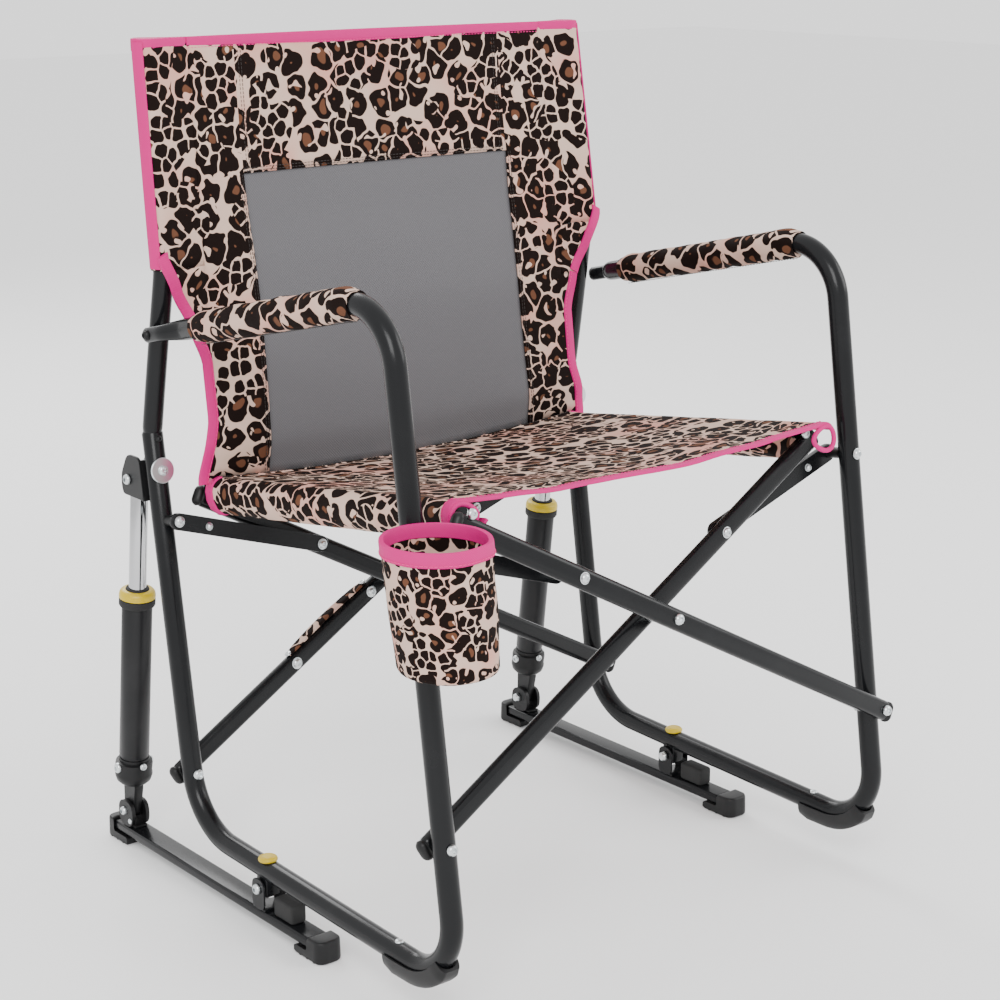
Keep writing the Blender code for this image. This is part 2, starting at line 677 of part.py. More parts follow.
# ---- rocking base -------------------------------------------------------------------------
BASE_TOP = CAP_LIP + FIT_GAP + BASE_BAR_THICK


def cap_outline(y_end, direction, depth):
    """L shaped cap: a block at the bar's end and a foot lip under the bar."""
    return [(y_end, 0.0), (y_end + direction * CAP_LIP_LENGTH, 0.0),
            (y_end + direction * CAP_LIP_LENGTH, CAP_LIP), (y_end + direction * depth, CAP_LIP),
            (y_end + direction * depth, CAP_HEIGHT), (y_end, CAP_HEIGHT)]


def make_base_bars():
    front = BASE_FRONT_Y + FRONT_CAP_DEPTH + FIT_GAP
    rear = BASE_REAR_Y - REAR_CAP_DEPTH - FIT_GAP
    for name, side in SIDES:
        centre = side_point(side, 0.5 * (front + rear), BASE_TOP - 0.5 * BASE_BAR_THICK)
        block("base_bar_" + name, (BASE_BAR_WIDTH, rear - front, BASE_BAR_THICK),
              Matrix.Translation(centre), "tube", bevel=0.0030, segments=3)
        x = side * HALF_TRACK
        side_outline("base_front_cap_" + name, cap_outline(BASE_FRONT_Y, 1.0, FRONT_CAP_DEPTH), x,
                     CAP_WIDTH, "plastic", bevel=0.0025)
        side_outline("base_rear_cap_" + name, cap_outline(BASE_REAR_Y, -1.0, REAR_CAP_DEPTH)[::-1],
                     x, CAP_WIDTH, "plastic", bevel=0.0025)


def channel(name, y_centre, length, plate_top, inner_half, plate, side, finish, bolt_y, bolt_z):
    """Upright U channel on the base bar with a cross hole through both plates."""
    bottom = BASE_TOP + FIT_GAP
    size = (2.0 * (inner_half + plate), length, plate_top - bottom)
    obj = block(name, size, Matrix.Translation(side_point(side, y_centre, 0.5 * (plate_top + bottom))),
                finish, bevel=0.0020)
    slot = add_cutter(name + "_slot", block_mesh(name + "_slot",
                                                 (2.0 * inner_half, length * 2.0, plate_top)))
    slot.matrix_world = Matrix.Translation(side_point(side, y_centre, bottom + CHANNEL_WEB + 0.5 * plate_top))
    boolean(obj, slot)
    drill(obj, name + "_hole", side_point(side, bolt_y, bolt_z), ACROSS, BOLT_HOLE_R, DRILL_REACH)
    return obj


def make_rocking_pivots():
    for name, side in SIDES:
        inner = TUBE_R + FIT_GAP
        channel("pivot_bracket_" + name, ROCK_Y, PIVOT_PLATE_LENGTH, ROCK_Z + PIVOT_PLATE_ABOVE,
                inner, PIVOT_PLATE, side, "tube", ROCK_Y, ROCK_Z)
        outer = inner + PIVOT_PLATE + FIT_GAP
        turned("rock_bolt_" + name, bolt_profile(2.0 * outer),
               side_point(side, ROCK_Y, ROCK_Z, -outer), ACROSS * side, "zinc", steps=12)
        bumper_low = BASE_TOP + FIT_GAP
        bumper_high = ground_rail_z(ROCK_Y - BUMPER_AHEAD) - TUBE_R - BUMPER_TRAVEL
        centre = side_point(side, ROCK_Y - BUMPER_AHEAD, 0.5 * (bumper_low + bumper_high))
        block("bumper_" + name, (BUMPER_WIDTH, BUMPER_LENGTH, bumper_high - bumper_low),
              Matrix.Translation(centre), "rubber", bevel=0.0030)


def make_strut_foot_brackets():
    for name, side in SIDES:
        channel("strut_bracket_" + name, STRUT_FOOT_Y - 0.002, STRUT_SHOE_LENGTH,
                STRUT_FOOT_Z + STRUT_SHOE_ABOVE, KNUCKLE_EYE_HALF + KNUCKLE_SHOE_GAP,
                STRUT_SHOE_PLATE, side, "plastic", STRUT_FOOT_Y, STRUT_FOOT_Z)


# ---- spring struts ------------------------------------------------------------------------
def strut_frame(side):
    top = side_point(side, STRUT_TOP_Y, STRUT_TOP_Z)
    foot = side_point(side, STRUT_FOOT_Y, STRUT_FOOT_Z)
    return top, foot, (top - foot).normalized(), (top - foot).length


def make_strut_top_brackets():
    z_low = STRUT_TOP_Z - HEAD_BELOW
    z_high = STRUT_TOP_Z + HEAD_ABOVE
    offset = (TUBE_R + FIT_GAP) / math.cos(LEG_LEAN)
    rear = STRUT_TOP_Y + HEAD_REACH
    outline = [(leg_y(REAR_PLANE_S, z_low) + offset, z_low), (rear - 0.004, z_low),
               (rear, z_low + 0.008), (rear, STRUT_TOP_Z + 0.004), (rear - 0.013, z_high),
               (leg_y(REAR_PLANE_S, z_high) + offset, z_high)]
    inner = ROD_R + HEAD_ROD_GAP
    web_rear = leg_y(REAR_PLANE_S, STRUT_TOP_Z) + offset + HEAD_WEB
    for name, side in SIDES:
        bracket = side_outline("strut_top_bracket_" + name, outline, side * HALF_TRACK,
                               2.0 * (inner + HEAD_PLATE), "plastic", bevel=0.0015)
        slot_size = (2.0 * inner, 0.120, 0.100)
        slot = add_cutter("strut_slot_" + name, block_mesh("strut_slot_" + name, slot_size))
        slot.matrix_world = Matrix.Translation(side_point(side, web_rear + 0.060, STRUT_TOP_Z))
        boolean(bracket, slot)
        drill(bracket, "strut_top_hole_" + name, side_point(side, STRUT_TOP_Y, STRUT_TOP_Z), ACROSS,
              BOLT_HOLE_R, DRILL_REACH)
        outer = inner + HEAD_PLATE + FIT_GAP
        turned("strut_top_bolt_" + name, bolt_profile(2.0 * outer),
               side_point(side, STRUT_TOP_Y, STRUT_TOP_Z, -outer), ACROSS * side, "zinc", steps=12)


def make_struts():
    bore = CYLINDER_R - CYLINDER_WALL
    for name, side in SIDES:
        top, foot, along, length = strut_frame(side)
        cylinder_top = CYLINDER_FROM_FOOT + CYLINDER_LENGTH
        floor = CYLINDER_FROM_FOOT + CYLINDER_FLOOR
        profile = [(bore, cylinder_top), (CYLINDER_R, cylinder_top),
                   (CYLINDER_R, CYLINDER_FROM_FOOT), (0.0, CYLINDER_FROM_FOOT), (0.0, floor),
                   (bore, floor)]
        turned("strut_cylinder_" + name, profile, foot, along, "cylinder", steps=20,
               closed=True)
        low = cylinder_top + FIT_GAP
        high = low + COLLAR_H
        throat = ROD_R + FIT_GAP
        outer = CYLINDER_R + COLLAR_LIP
        ring = [(throat, high), (outer - COLLAR_EDGE, high), (outer, high - COLLAR_EDGE),
                (outer, low + 0.002), (outer - 0.001, low), (throat, low)]
        turned("strut_collar_" + name, ring, foot, along, "yellow", steps=20, closed=True)
        rod_low = cylinder_top - ROD_ENGAGED
        rod_high = length + ROD_HEAD
        rod_profile = [(0.0, rod_high), (ROD_R - 0.003, rod_high), (ROD_R, rod_high - 0.003),
                       (ROD_R, rod_low), (0.0, rod_low)]
        rod = turned("strut_rod_" + name, rod_profile, foot, along, "chrome", steps=20)
        drill(rod, "rod_hole_" + name, top, ACROSS, BOLT_HOLE_R, DRILL_REACH)
        coil_low = floor + SPRING_WIRE_R + FIT_GAP
        coil_high = rod_low - SPRING_WIRE_R - FIT_GAP
        coil_r = bore - SPRING_WIRE_R - 2.0 * FIT_GAP
        forward = along.cross(ACROSS)
        per_turn = 10
        count = SPRING_TURNS * per_turn
        points = []
        for k in range(count + 1):
            angle = 2.0 * math.pi * k / per_turn
            height = coil_low + (coil_high - coil_low) * k / count
            points.append(foot + along * height + ACROSS * (coil_r * math.cos(angle))
                          + forward * (coil_r * math.sin(angle)))
        tube("strut_spring_" + name, points, SPRING_WIRE_R, "zinc", resolution=1)
        make_knuckle(name, side, foot, along)


def make_knuckle(name, side, foot, along):
    """Turned socket under the cylinder with a flat eye that straddles the foot pivot bolt."""
    socket_top = CYLINDER_FROM_FOOT - FIT_GAP
    outer = CYLINDER_R + KNUCKLE_LIP
    profile = [(0.0, socket_top), (outer - 0.0055, socket_top), (outer - 0.0005, socket_top - 0.004),
               (outer, KNUCKLE_LOW + 0.010), (outer - 0.0045, KNUCKLE_LOW), (0.0, KNUCKLE_LOW)]
    knuckle = turned("strut_knuckle_" + name, profile, foot, along, "plastic", steps=16)
    eye_size = (2.0 * KNUCKLE_EYE_HALF, 2.0 * KNUCKLE_EYE_R, KNUCKLE_LOW + 0.010 + KNUCKLE_EYE_R)
    eye = add_cutter("knuckle_eye_" + name, block_mesh("knuckle_eye_" + name, eye_size))
    round_edges(eye, 0.0045, 3)
    eye.matrix_world = axes_matrix(foot + along * (0.5 * eye_size[2] - KNUCKLE_EYE_R), ACROSS, along)
    boolean(knuckle, eye, "UNION")
    drill(knuckle, "knuckle_bore_" + name, foot, ACROSS, KNUCKLE_BORE_R,
          DRILL_REACH)


# ---- fabric -------------------------------------------------------------------------------
def seat_rear_edge():
    """s and v of the seat fabric's rear edge."""
    return (REAR_PLANE_S - BAR_LAYER - BAR_THICK - SEAT_REAR_GAP,
            rail_centre(1.0)[1] - SEAT_DROP)


def make_seat_panel():
    """Sling between the seat rails, a little below their centre line."""
    half = RAIL_HALF - RAIL_R - FIT_GAP
    front = FRONT_PLANE_S - BAR_LAYER + 0.5 * BAR_THICK
    rear, v = seat_rear_edge()
    mid = fold_point(0.0, 0.5 * (front + rear), v)
    block("seat_panel", (2.0 * half, rear - front, FABRIC), axes_matrix(mid, ACROSS, LEG_UP),
          "print", bevel=0.0010, segments=1)


def back_foot():
    """Where the back fabric ends, just above the seat's rear edge."""
    s, v = seat_rear_edge()
    return fold_point(0.0, s, v) + Vector((0.0, -BACK_AHEAD_OF_SEAT, BACK_ABOVE_SEAT))


def back_outline():
    """Half outline (x, z) of the back fabric from the bottom to the top."""
    full = HALF_TRACK + BACK_OVERHANG
    waist = HALF_TRACK - BACK_WAIST_INSET
    low = back_foot().z
    shoulder = LUMBAR_Z + BACK_SHOULDER
    steps = ((0.0, waist), (0.27, waist - BACK_WAIST_TUCK), (0.53, waist + BACK_WAIST_FLARE),
             (0.76, 0.5 * (waist + full)), (1.0, full))
    outline = [(half, low + (shoulder - low) * share) for share, half in steps]
    return outline + [(full, BACK_TOP_Z + BACK_TOP_HEM)]


def fabric_plane_y(z):
    """Front of the uprights, and straight down from the lumbar kink to the seat."""
    stand_off = UPRIGHT_R + 2.0 * FIT_GAP + 0.5 * FABRIC
    if z >= LUMBAR_Z:
        return upright_y(z) - stand_off
    foot = back_foot()
    return foot.y + (LUMBAR_Y - stand_off - foot.y) * (z - foot.z) / (LUMBAR_Z - foot.z)


def fabric_sheet(name, columns, rows, finish, window=None):
    """Grid of faces on the fabric plane, given x positions by height, thickened.

    window is the (lowest, highest) height of the opening left in the middle column.
    """
    mesh = bpy.data.meshes.new(name)
    work = bmesh.new()
    grid = []
    for z, xs in rows:
        grid.append([work.verts.new((x, fabric_plane_y(z), z)) for x in xs])
    for r in range(len(grid) - 1):
        for c in range(columns):
            z_mid = 0.5 * (rows[r][0] + rows[r + 1][0])
            if window and c == columns // 2 and window[0] < z_mid < window[1]:
                continue
            work.faces.new((grid[r][c], grid[r][c + 1], grid[r + 1][c + 1], grid[r + 1][c]))
    work.to_mesh(mesh)
    work.free()
    obj = add_part(name, mesh, finish)
    solidify = obj.modifiers.new("fabric", "SOLIDIFY")
    solidify.thickness = FABRIC
    solidify.offset = 0.0
    return obj


def make_back():
    outline = back_outline()
    sill_z = outline[0][1] + WINDOW_SILL
    heights = sorted({z for _, z in outline} | {sill_z, WINDOW_TOP_Z})

    def half_at(z):
        for (x0, z0), (x1, z1) in zip(outline, outline[1:]):
            if z0 <= z <= z1:
                return x0 + (x1 - x0) * (z - z0) / (z1 - z0)
        return outline[-1][0]

    rows = [(z, (-half_at(z), -WINDOW_HALF, WINDOW_HALF, half_at(z))) for z in heights]
    fabric_sheet("back_panel", 3, rows, "print", window=(sill_z, WINDOW_TOP_Z))
    half = WINDOW_HALF - WINDOW_EDGE_GAP
    rows = [(sill_z + WINDOW_EDGE_GAP, (-half, half)), (LUMBAR_Z, (-half, half)),
            (WINDOW_TOP_Z - WINDOW_EDGE_GAP, (-half, half))]
    fabric_sheet("back_window", 1, rows, "mesh")


def make_cup_holder():
    """Tapered fabric cup hung on the outer front of the right leg, parallel to it."""
    reach = CUP_RIM_R + TUBE_R + CUP_LEG_GAP
    rim_y = leg_y(FRONT_PLANE_S, CUP_RIM_Z)
    centre = side_point(-1.0, rim_y - reach * math.cos(CUP_OUTBOARD), CUP_RIM_Z,
                        reach * math.sin(CUP_OUTBOARD))
    profile = [(CUP_RIM_R - CUP_WALL, 0.0), (CUP_RIM_R, 0.0),
               (CUP_FOOT_R, -CUP_DEPTH + CUP_FOOT_EDGE), (CUP_FOOT_R - CUP_FOOT_EDGE, -CUP_DEPTH),
               (0.0, -CUP_DEPTH), (0.0, -CUP_DEPTH + CUP_WALL),
               (CUP_FOOT_R - CUP_WALL - 0.002, -CUP_DEPTH + CUP_WALL)]
    turned("cup_holder", profile, centre, LEG_UP, "print", steps=28, closed=True)


def make_carry_handle():
    """Webbing strap bolted along the top of the rear bar b, below the crossing."""
    direction = bar_direction(1.0)
    upward = LEG_NORMAL.cross(direction)
    if upward.z < 0:
        upward = -upward
    crossing = fold_point(0.0, REAR_PLANE_S + BAR_LAYER, crossing_v())
    rise = 0.5 * BAR_WIDTH + 2.0 * FIT_GAP + 0.5 * HANDLE_THICK
    middle = crossing - direction * HANDLE_DOWN_BAR + upward * rise
    block("carry_handle", (HANDLE_LENGTH, BAR_THICK, HANDLE_THICK),
          axes_matrix(middle, direction, upward),
          "print", bevel=0.0010, segments=1)


# ---- moving bodies ------------------------------------------------------------------------
def body_axes():
    """Each moving body's pivot, in chair coordinates."""
    crossing = fold_point(0.0, 0.0, crossing_v())
    pivots = {"x_frame_b": fold_point(-HALF_TRACK, 0.0, PIVOT_LOW_V), "x_frame_a": crossing,
              "frame_left": fold_point(HALF_TRACK, 0.0, PIVOT_LOW_V)}
    for name, side in SIDES:
        pivots["links_" + name] = fold_point(side * HALF_TRACK, 0.0, LINK_LEG_V)
        pivots["base_" + name] = side_point(side, ROCK_Y, ROCK_Z)
        pivots["rod_" + name] = side_point(side, STRUT_TOP_Y, STRUT_TOP_Z)
        pivots["cylinder_" + name] = side_point(side, STRUT_FOOT_Y, STRUT_FOOT_Z)
    return pivots


def body_members():
    members = {
        "x_frame_a": ["front_bar_a", "rear_bar_a", "seat_rail_right", "cross_bolt_front",
                      "cross_bolt_rear"],
        "x_frame_b": ["front_bar_b", "rear_bar_b", "seat_rail_left", "seat_panel", "carry_handle"],
        "frame_left": [stem + "_left" for stem in
                       ("side_frame", "back_upright", "rail_cap", "foot", "armrest_sleeve",
                        "strut_top_bracket", "strut_top_bolt", "front_pivot_bolt",
                        "rear_pivot_bolt")],
    }
    for name, _ in SIDES:
        members["links_" + name] = ["front_link_" + name, "rear_link_" + name]
        members["base_" + name] = [stem + name for stem in
                                   ("base_bar_", "base_front_cap_", "base_rear_cap_",
                                    "pivot_bracket_", "rock_bolt_", "bumper_", "strut_bracket_")]
        members["rod_" + name] = ["strut_rod_" + name]
        members["cylinder_" + name] = ["strut_cylinder_" + name, "strut_collar_" + name,
                                       "strut_spring_" + name, "strut_knuckle_" + name]
    return members


def add_empty(name, location, parent=None):
    empty = bpy.data.objects.new(name, None)
    empty.empty_display_size = 0.05
    PARTS.objects.link(empty)
    empty.parent = parent
    empty.location = location
    return empty


def part_bounds():
    """Lowest and highest corner of all parts, with their modifiers."""
    depsgraph = bpy.context.evaluated_depsgraph_get()
    low = Vector((1e9, 1e9, 1e9))
    high = -low
    for obj in PARTS.objects:
        if obj.type == "EMPTY":
            continue
        solid = obj.evaluated_get(depsgraph)
        for corner in solid.to_mesh().vertices:
            place = solid.matrix_world @ corner.co
            low = Vector(map(min, low, place))
            high = Vector(map(max, high, place))
        solid.to_mesh_clear()
    return low, high


def group_bodies():
    """Parent every part and cutter to its body's pivot, and the pivots to the chair's origin."""
    chair = add_empty("chair_origin", (0.0, 0.0, 0.0))
    owner = {}
    for body, pivot in body_axes().items():
        empty = add_empty(body + "_axis", pivot, chair)
        for part in body_members()[body]:
            owner[part] = empty
    for obj in list(PARTS.objects) + list(CUTTERS.objects):
        if obj.type == "EMPTY":
            continue
        parent = owner.get(obj.name, chair)
        placed = obj.matrix_world.copy()
        obj.parent = parent
        obj.matrix_local = Matrix.Translation(-parent.location) @ placed
    bpy.context.view_layer.update()
    low, high = part_bounds()
    chair.location = (-0.5 * (low.x + high.x), -0.5 * (low.y + high.y), -low.z)


def smooth_round_parts():
    for obj in PARTS.objects:
        if obj.type == "MESH":
            obj.data.shade_smooth()
            obj.data.set_sharp_from_angle(angle=math.radians(35.0))


def main():
    make_side_frames()
    make_back_uprights()
    make_feet()
    make_armrest_sleeves()
    make_rail_caps()
    make_cross_bars()
    make_stay_links()
    make_seat_rails()
    make_scissor_bolts()
    make_base_bars()
    make_rocking_pivots()
    make_strut_foot_brackets()
    make_strut_top_brackets()
    make_struts()
    make_seat_panel()
    make_back()
    make_cup_holder()
    make_carry_handle()
    bpy.context.view_layer.update()
    smooth_round_parts()
    group_bodies()


main()
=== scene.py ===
"""Looks of the folding camp rocking chair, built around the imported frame.  Metres, +Z up."""
import json
import math

import bmesh
import bpy
from mathutils import Matrix, Vector, noise


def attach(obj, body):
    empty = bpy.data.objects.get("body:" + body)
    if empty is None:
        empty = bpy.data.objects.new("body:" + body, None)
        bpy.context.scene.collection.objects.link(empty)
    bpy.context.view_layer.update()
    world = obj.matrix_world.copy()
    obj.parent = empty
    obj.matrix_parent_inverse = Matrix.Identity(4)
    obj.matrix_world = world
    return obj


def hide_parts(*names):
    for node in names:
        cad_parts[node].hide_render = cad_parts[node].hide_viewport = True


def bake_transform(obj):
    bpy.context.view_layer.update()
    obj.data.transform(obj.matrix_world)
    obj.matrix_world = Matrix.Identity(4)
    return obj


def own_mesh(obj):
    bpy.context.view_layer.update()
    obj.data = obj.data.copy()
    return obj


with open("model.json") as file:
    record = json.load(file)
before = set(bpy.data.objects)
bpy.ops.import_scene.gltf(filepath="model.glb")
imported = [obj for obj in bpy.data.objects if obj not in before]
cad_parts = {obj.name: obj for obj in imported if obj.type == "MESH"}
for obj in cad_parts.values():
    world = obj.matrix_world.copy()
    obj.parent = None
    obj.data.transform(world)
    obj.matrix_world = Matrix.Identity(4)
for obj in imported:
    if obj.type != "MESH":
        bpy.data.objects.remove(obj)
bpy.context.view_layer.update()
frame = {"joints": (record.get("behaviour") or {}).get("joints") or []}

# ---- layout read from the frame ------------------------------------------------------------
JOINTS = {joint["name"]: joint for joint in frame["joints"]}
SIDES = (("right", -1.0), ("left", 1.0))
ACROSS = Vector((1.0, 0.0, 0.0))
UP = Vector((0.0, 0.0, 1.0))
LEG_NORMAL = -Vector(JOINTS["fold"]["axis"]).normalized()
LEG_UP = ACROSS.cross(LEG_NORMAL)
LEG_LEAN = math.atan2(LEG_UP.y, LEG_UP.z)
RIGHT_PIVOT = Vector(JOINTS["fold"]["pos_m"])
LEFT_PIVOT = Vector(JOINTS["fold_left"]["pos_m"])
HALF_TRACK = 0.5 * (LEFT_PIVOT.x - RIGHT_PIVOT.x)
ROCK_PIVOT = Vector(JOINTS["rock_right"]["pos_m"])
STRUT_AXIS = Vector(JOINTS["strut_slide_right"]["axis"]).normalized()

# the side view's y = 0, on the chair's middle plane and at floor level
ROCK_Y = 0.2458
ORIGIN = Vector((0.5 * (LEFT_PIVOT.x + RIGHT_PIVOT.x), ROCK_PIVOT.y - ROCK_Y, 0.0))

# ---- sizes of the pieces, metres -----------------------------------------------------------
TUBE_R = 0.0110
UPRIGHT_R = 0.0105
RAIL_R = 0.0078
GAP = 0.0005
WASHER = 0.0030
FRONT_PLANE_S = -0.0750
REAR_PLANE_S = 0.3655
GROUND_RAIL_Z = 0.0540
GROUND_RAIL_RISE = 0.025
REAR_BEND_R = 0.0747
FRONT_BEND_R = 0.0570
ARM_BEND_R = 0.0600
ARM_SWAGE = 0.060            # length of the flattened end of the armrest tube
ARM_TIP = 0.007              # how far short of the upright's middle line it ends
ARM_FRONT_Z = 0.6830
ARM_FALL = 0.2327
LEG_TOP_Z = 0.4835
LUMBAR = (0.4105, 0.6600)
BACK_TOP = (0.4405, 0.8790)
SPREAD = math.radians(28.8)
LOW_V = 0.1780
LINK_V = 0.4520
LINK_ARM = 0.1294
RAIL_ARM = 0.2806
RAIL_STAND_OFF = 0.0123
BAR_WIDTH = 0.0210
BAR_THICK = 0.0130
BAR_LAYER = TUBE_R + WASHER + 0.5 * BAR_THICK
LINK_THICK = 0.0070
PLANES = {"front": FRONT_PLANE_S, "rear": REAR_PLANE_S}
UPRIGHT_LEAN = 0.0100        # the stretched back pulls the upright tips inwards
ROCK_Z = 0.0437
BASE_FRONT_Y = 0.1340
BASE_REAR_Y = 0.5560
BASE_FRONT_CAP = 0.0240      # how far each end cap reaches over its bar
BASE_REAR_CAP = 0.0145
CAP_SOLE = 0.0092            # thickness of the caps under the bar
BASE_BAR_HEIGHT = 0.0110
BASE_TOP = CAP_SOLE + GAP + BASE_BAR_HEIGHT
BUMPER_Y = 0.2078
STRUT_TOP_Y, STRUT_TOP_Z = 0.4720, 0.4300
STRUT_FOOT_Y, STRUT_FOOT_Z = 0.5190, 0.0385
STRUT_LENGTH = math.hypot(STRUT_TOP_Y - STRUT_FOOT_Y, STRUT_TOP_Z - STRUT_FOOT_Z)


def lay(x, y, z):
    """A side-view layout point in the frame's own axes."""
    return ORIGIN + Vector((x, y, z))


def side_point(side, y, z, out=0.0):
    return lay(side * (HALF_TRACK + out), y, z)


def leg_y(plane_s, z):
    return (plane_s + z * math.sin(LEG_LEAN)) / math.cos(LEG_LEAN)


def fold_point(u, s, v):
    return ORIGIN + ACROSS * u + LEG_NORMAL * s + LEG_UP * v


def crossing_v():
    return LOW_V + HALF_TRACK * math.tan(SPREAD)


def rail_centre(side):
    u = RAIL_ARM * math.cos(SPREAD) - RAIL_STAND_OFF * math.sin(SPREAD)
    v = crossing_v() + RAIL_ARM * math.sin(SPREAD) + RAIL_STAND_OFF * math.cos(SPREAD)
    return side * u, v


def arm_z(y):
    return ARM_FRONT_Z - ARM_FALL * (y - leg_y(FRONT_PLANE_S, ARM_FRONT_Z))


def ground_rail_z(y):
    return GROUND_RAIL_Z + GROUND_RAIL_RISE * (y - leg_y(FRONT_PLANE_S, GROUND_RAIL_Z))


def upright_y(z):
    foot = (leg_y(REAR_PLANE_S, LEG_TOP_Z), LEG_TOP_Z)
    low, high = (foot, LUMBAR) if z < LUMBAR[1] else (LUMBAR, BACK_TOP)
    return low[0] + (high[0] - low[0]) * (z - low[1]) / (high[1] - low[1])


def upright_lean(z):
    """How far the upright leans inwards at height z."""
    share = max(0.0, (z - LEG_TOP_Z) / (BACK_TOP[1] - LEG_TOP_Z))
    return UPRIGHT_LEAN * share ** 1.3


def smooth_step(t):
    t = min(1.0, max(0.0, t))
    return t * t * (3.0 - 2.0 * t)


def mix(a, b, t):
    return a + (b - a) * t


def side_plane(x, y=0.0):
    """Puts local x, y and z on the chair's y, z and x, at x across and y back."""
    return Matrix(((0, 0, 1, ORIGIN.x + x), (1, 0, 0, ORIGIN.y + y), (0, 1, 0, 0.0),
                   (0, 0, 0, 1)))


# ---- camera, floor and light ---------------------------------------------------------------
def make_camera():
    camera = bpy.data.objects.new("camera", bpy.data.cameras.new("camera"))
    bpy.context.scene.collection.objects.link(camera)
    camera.data.lens = 79.0
    camera.data.sensor_width = 36.0
    right = Vector((0.7735, -0.6338, 0.0)).normalized()
    back = Vector((-0.6116, -0.7463, 0.2626)).normalized()
    up = back.cross(right)
    matrix = Matrix((right, up, back)).transposed().to_4x4()
    matrix.translation = lay(-1.4113, -1.5015, 1.0147)
    camera.matrix_world = matrix
    bpy.context.scene.camera = camera


def make_studio():
    """Pale floor, white surroundings and three large soft lights."""
    world = bpy.data.worlds.new("studio")
    bpy.context.scene.world = world
    world.use_nodes = True
    world.node_tree.nodes["Background"].inputs["Color"].default_value = (1.0, 1.0, 1.0, 1.0)
    world.node_tree.nodes["Background"].inputs["Strength"].default_value = 1.55
    mesh = bpy.data.meshes.new("floor")
    work = bmesh.new()
    bmesh.ops.create_grid(work, x_segments=1, y_segments=1, size=12.0)
    work.to_mesh(mesh)
    work.free()
    floor = bpy.data.objects.new("floor", mesh)
    bpy.context.scene.collection.objects.link(floor)
    floor.location.z = -0.0004
    material, shader, _ = new_material("floor_paper", 0.9)
    shader.inputs["Base Color"].default_value = (0.93, 0.93, 0.93, 1.0)
    shader.inputs["Specular IOR Level"].default_value = 0.1
    mesh.materials.append(material)
    for name, place, aim, size, power in (
            ("key", (-2.2, -2.4, 2.8), (0.0, 0.0, 0.4), 1.8, 90.0),
            ("fill", (2.6, -1.6, 1.9), (0.0, 0.0, 0.4), 1.6, 34.0),
            ("back", (0.6, 2.8, 2.4), (0.0, 0.2, 0.5), 1.6, 50.0)):
        light = bpy.data.lights.new(name, "AREA")
        light.size = size
        light.energy = power
        lamp = bpy.data.objects.new(name, light)
        bpy.context.scene.collection.objects.link(lamp)
        lamp.location = place
        lamp.rotation_euler = (Vector(aim) - Vector(place)).to_track_quat("-Z", "Y").to_euler()


# ---- materials -----------------------------------------------------------------------------
def new_material(name, roughness, metallic=0.0):
    material = bpy.data.materials.new(name)
    material.use_nodes = True
    tree = material.node_tree
    shader = tree.nodes["Principled BSDF"]
    shader.inputs["Roughness"].default_value = roughness
    shader.inputs["Metallic"].default_value = metallic
    return material, shader, tree


def new_group(name, inputs, outputs):
    """A shader node group: inputs are (name, default), outputs are (name, kind)."""
    group = bpy.data.node_groups.new(name, "ShaderNodeTree")
    for label, value in inputs:
        kind = {float: "NodeSocketFloat", tuple: "NodeSocketColor"}.get(type(value))
        socket = group.interface.new_socket(label, in_out="INPUT",
                                            socket_type=kind or "NodeSocketVector")
        if kind:
            socket.default_value = value
    for label, kind in outputs:
        group.interface.new_socket(label, in_out="OUTPUT", socket_type=kind)
    source = group.nodes.new("NodeGroupInput")
    sink = group.nodes.new("NodeGroupOutput")
    return group, source, sink


def add_node(tree, kind, links=None, **settings):
    """A node with its settings; links maps an input (name or number) to a socket or a value."""
    node = tree.nodes.new(kind)
    for key, value in settings.items():
        setattr(node, key, value)
    for key, value in (links or {}).items():
        if isinstance(value, bpy.types.NodeSocket):
            tree.links.new(value, node.inputs[key])
        else:
            node.inputs[key].default_value = value
    return node


def calc(tree, operation, a, b=0.0, c=0.0, clamp=False):
    node = add_node(tree, "ShaderNodeMath", {0: a, 1: b, 2: c}, operation=operation)
    node.use_clamp = clamp
    return node.outputs[0]


def ramp(tree, value, low, high):
    """0 below low and 1 above high, smoothly."""
    node = add_node(tree, "ShaderNodeMapRange",
                    {"Value": value, "From Min": low, "From Max": high},
                    interpolation_type="SMOOTHSTEP")
    return node.outputs["Result"]


def blend_color(tree, factor, first, second):
    node = tree.nodes.new("ShaderNodeMix")
    node.data_type = "RGBA"
    for socket, value in ((0, factor), (6, first), (7, second)):
        if isinstance(value, bpy.types.NodeSocket):
            tree.links.new(value, node.inputs[socket])
        else:
            node.inputs[socket].default_value = value
    return node.outputs[2]


def scaled(tree, vector, factor):
    return add_node(tree, "ShaderNodeVectorMath", {0: vector, "Scale": factor},
                    operation="SCALE").outputs[0]


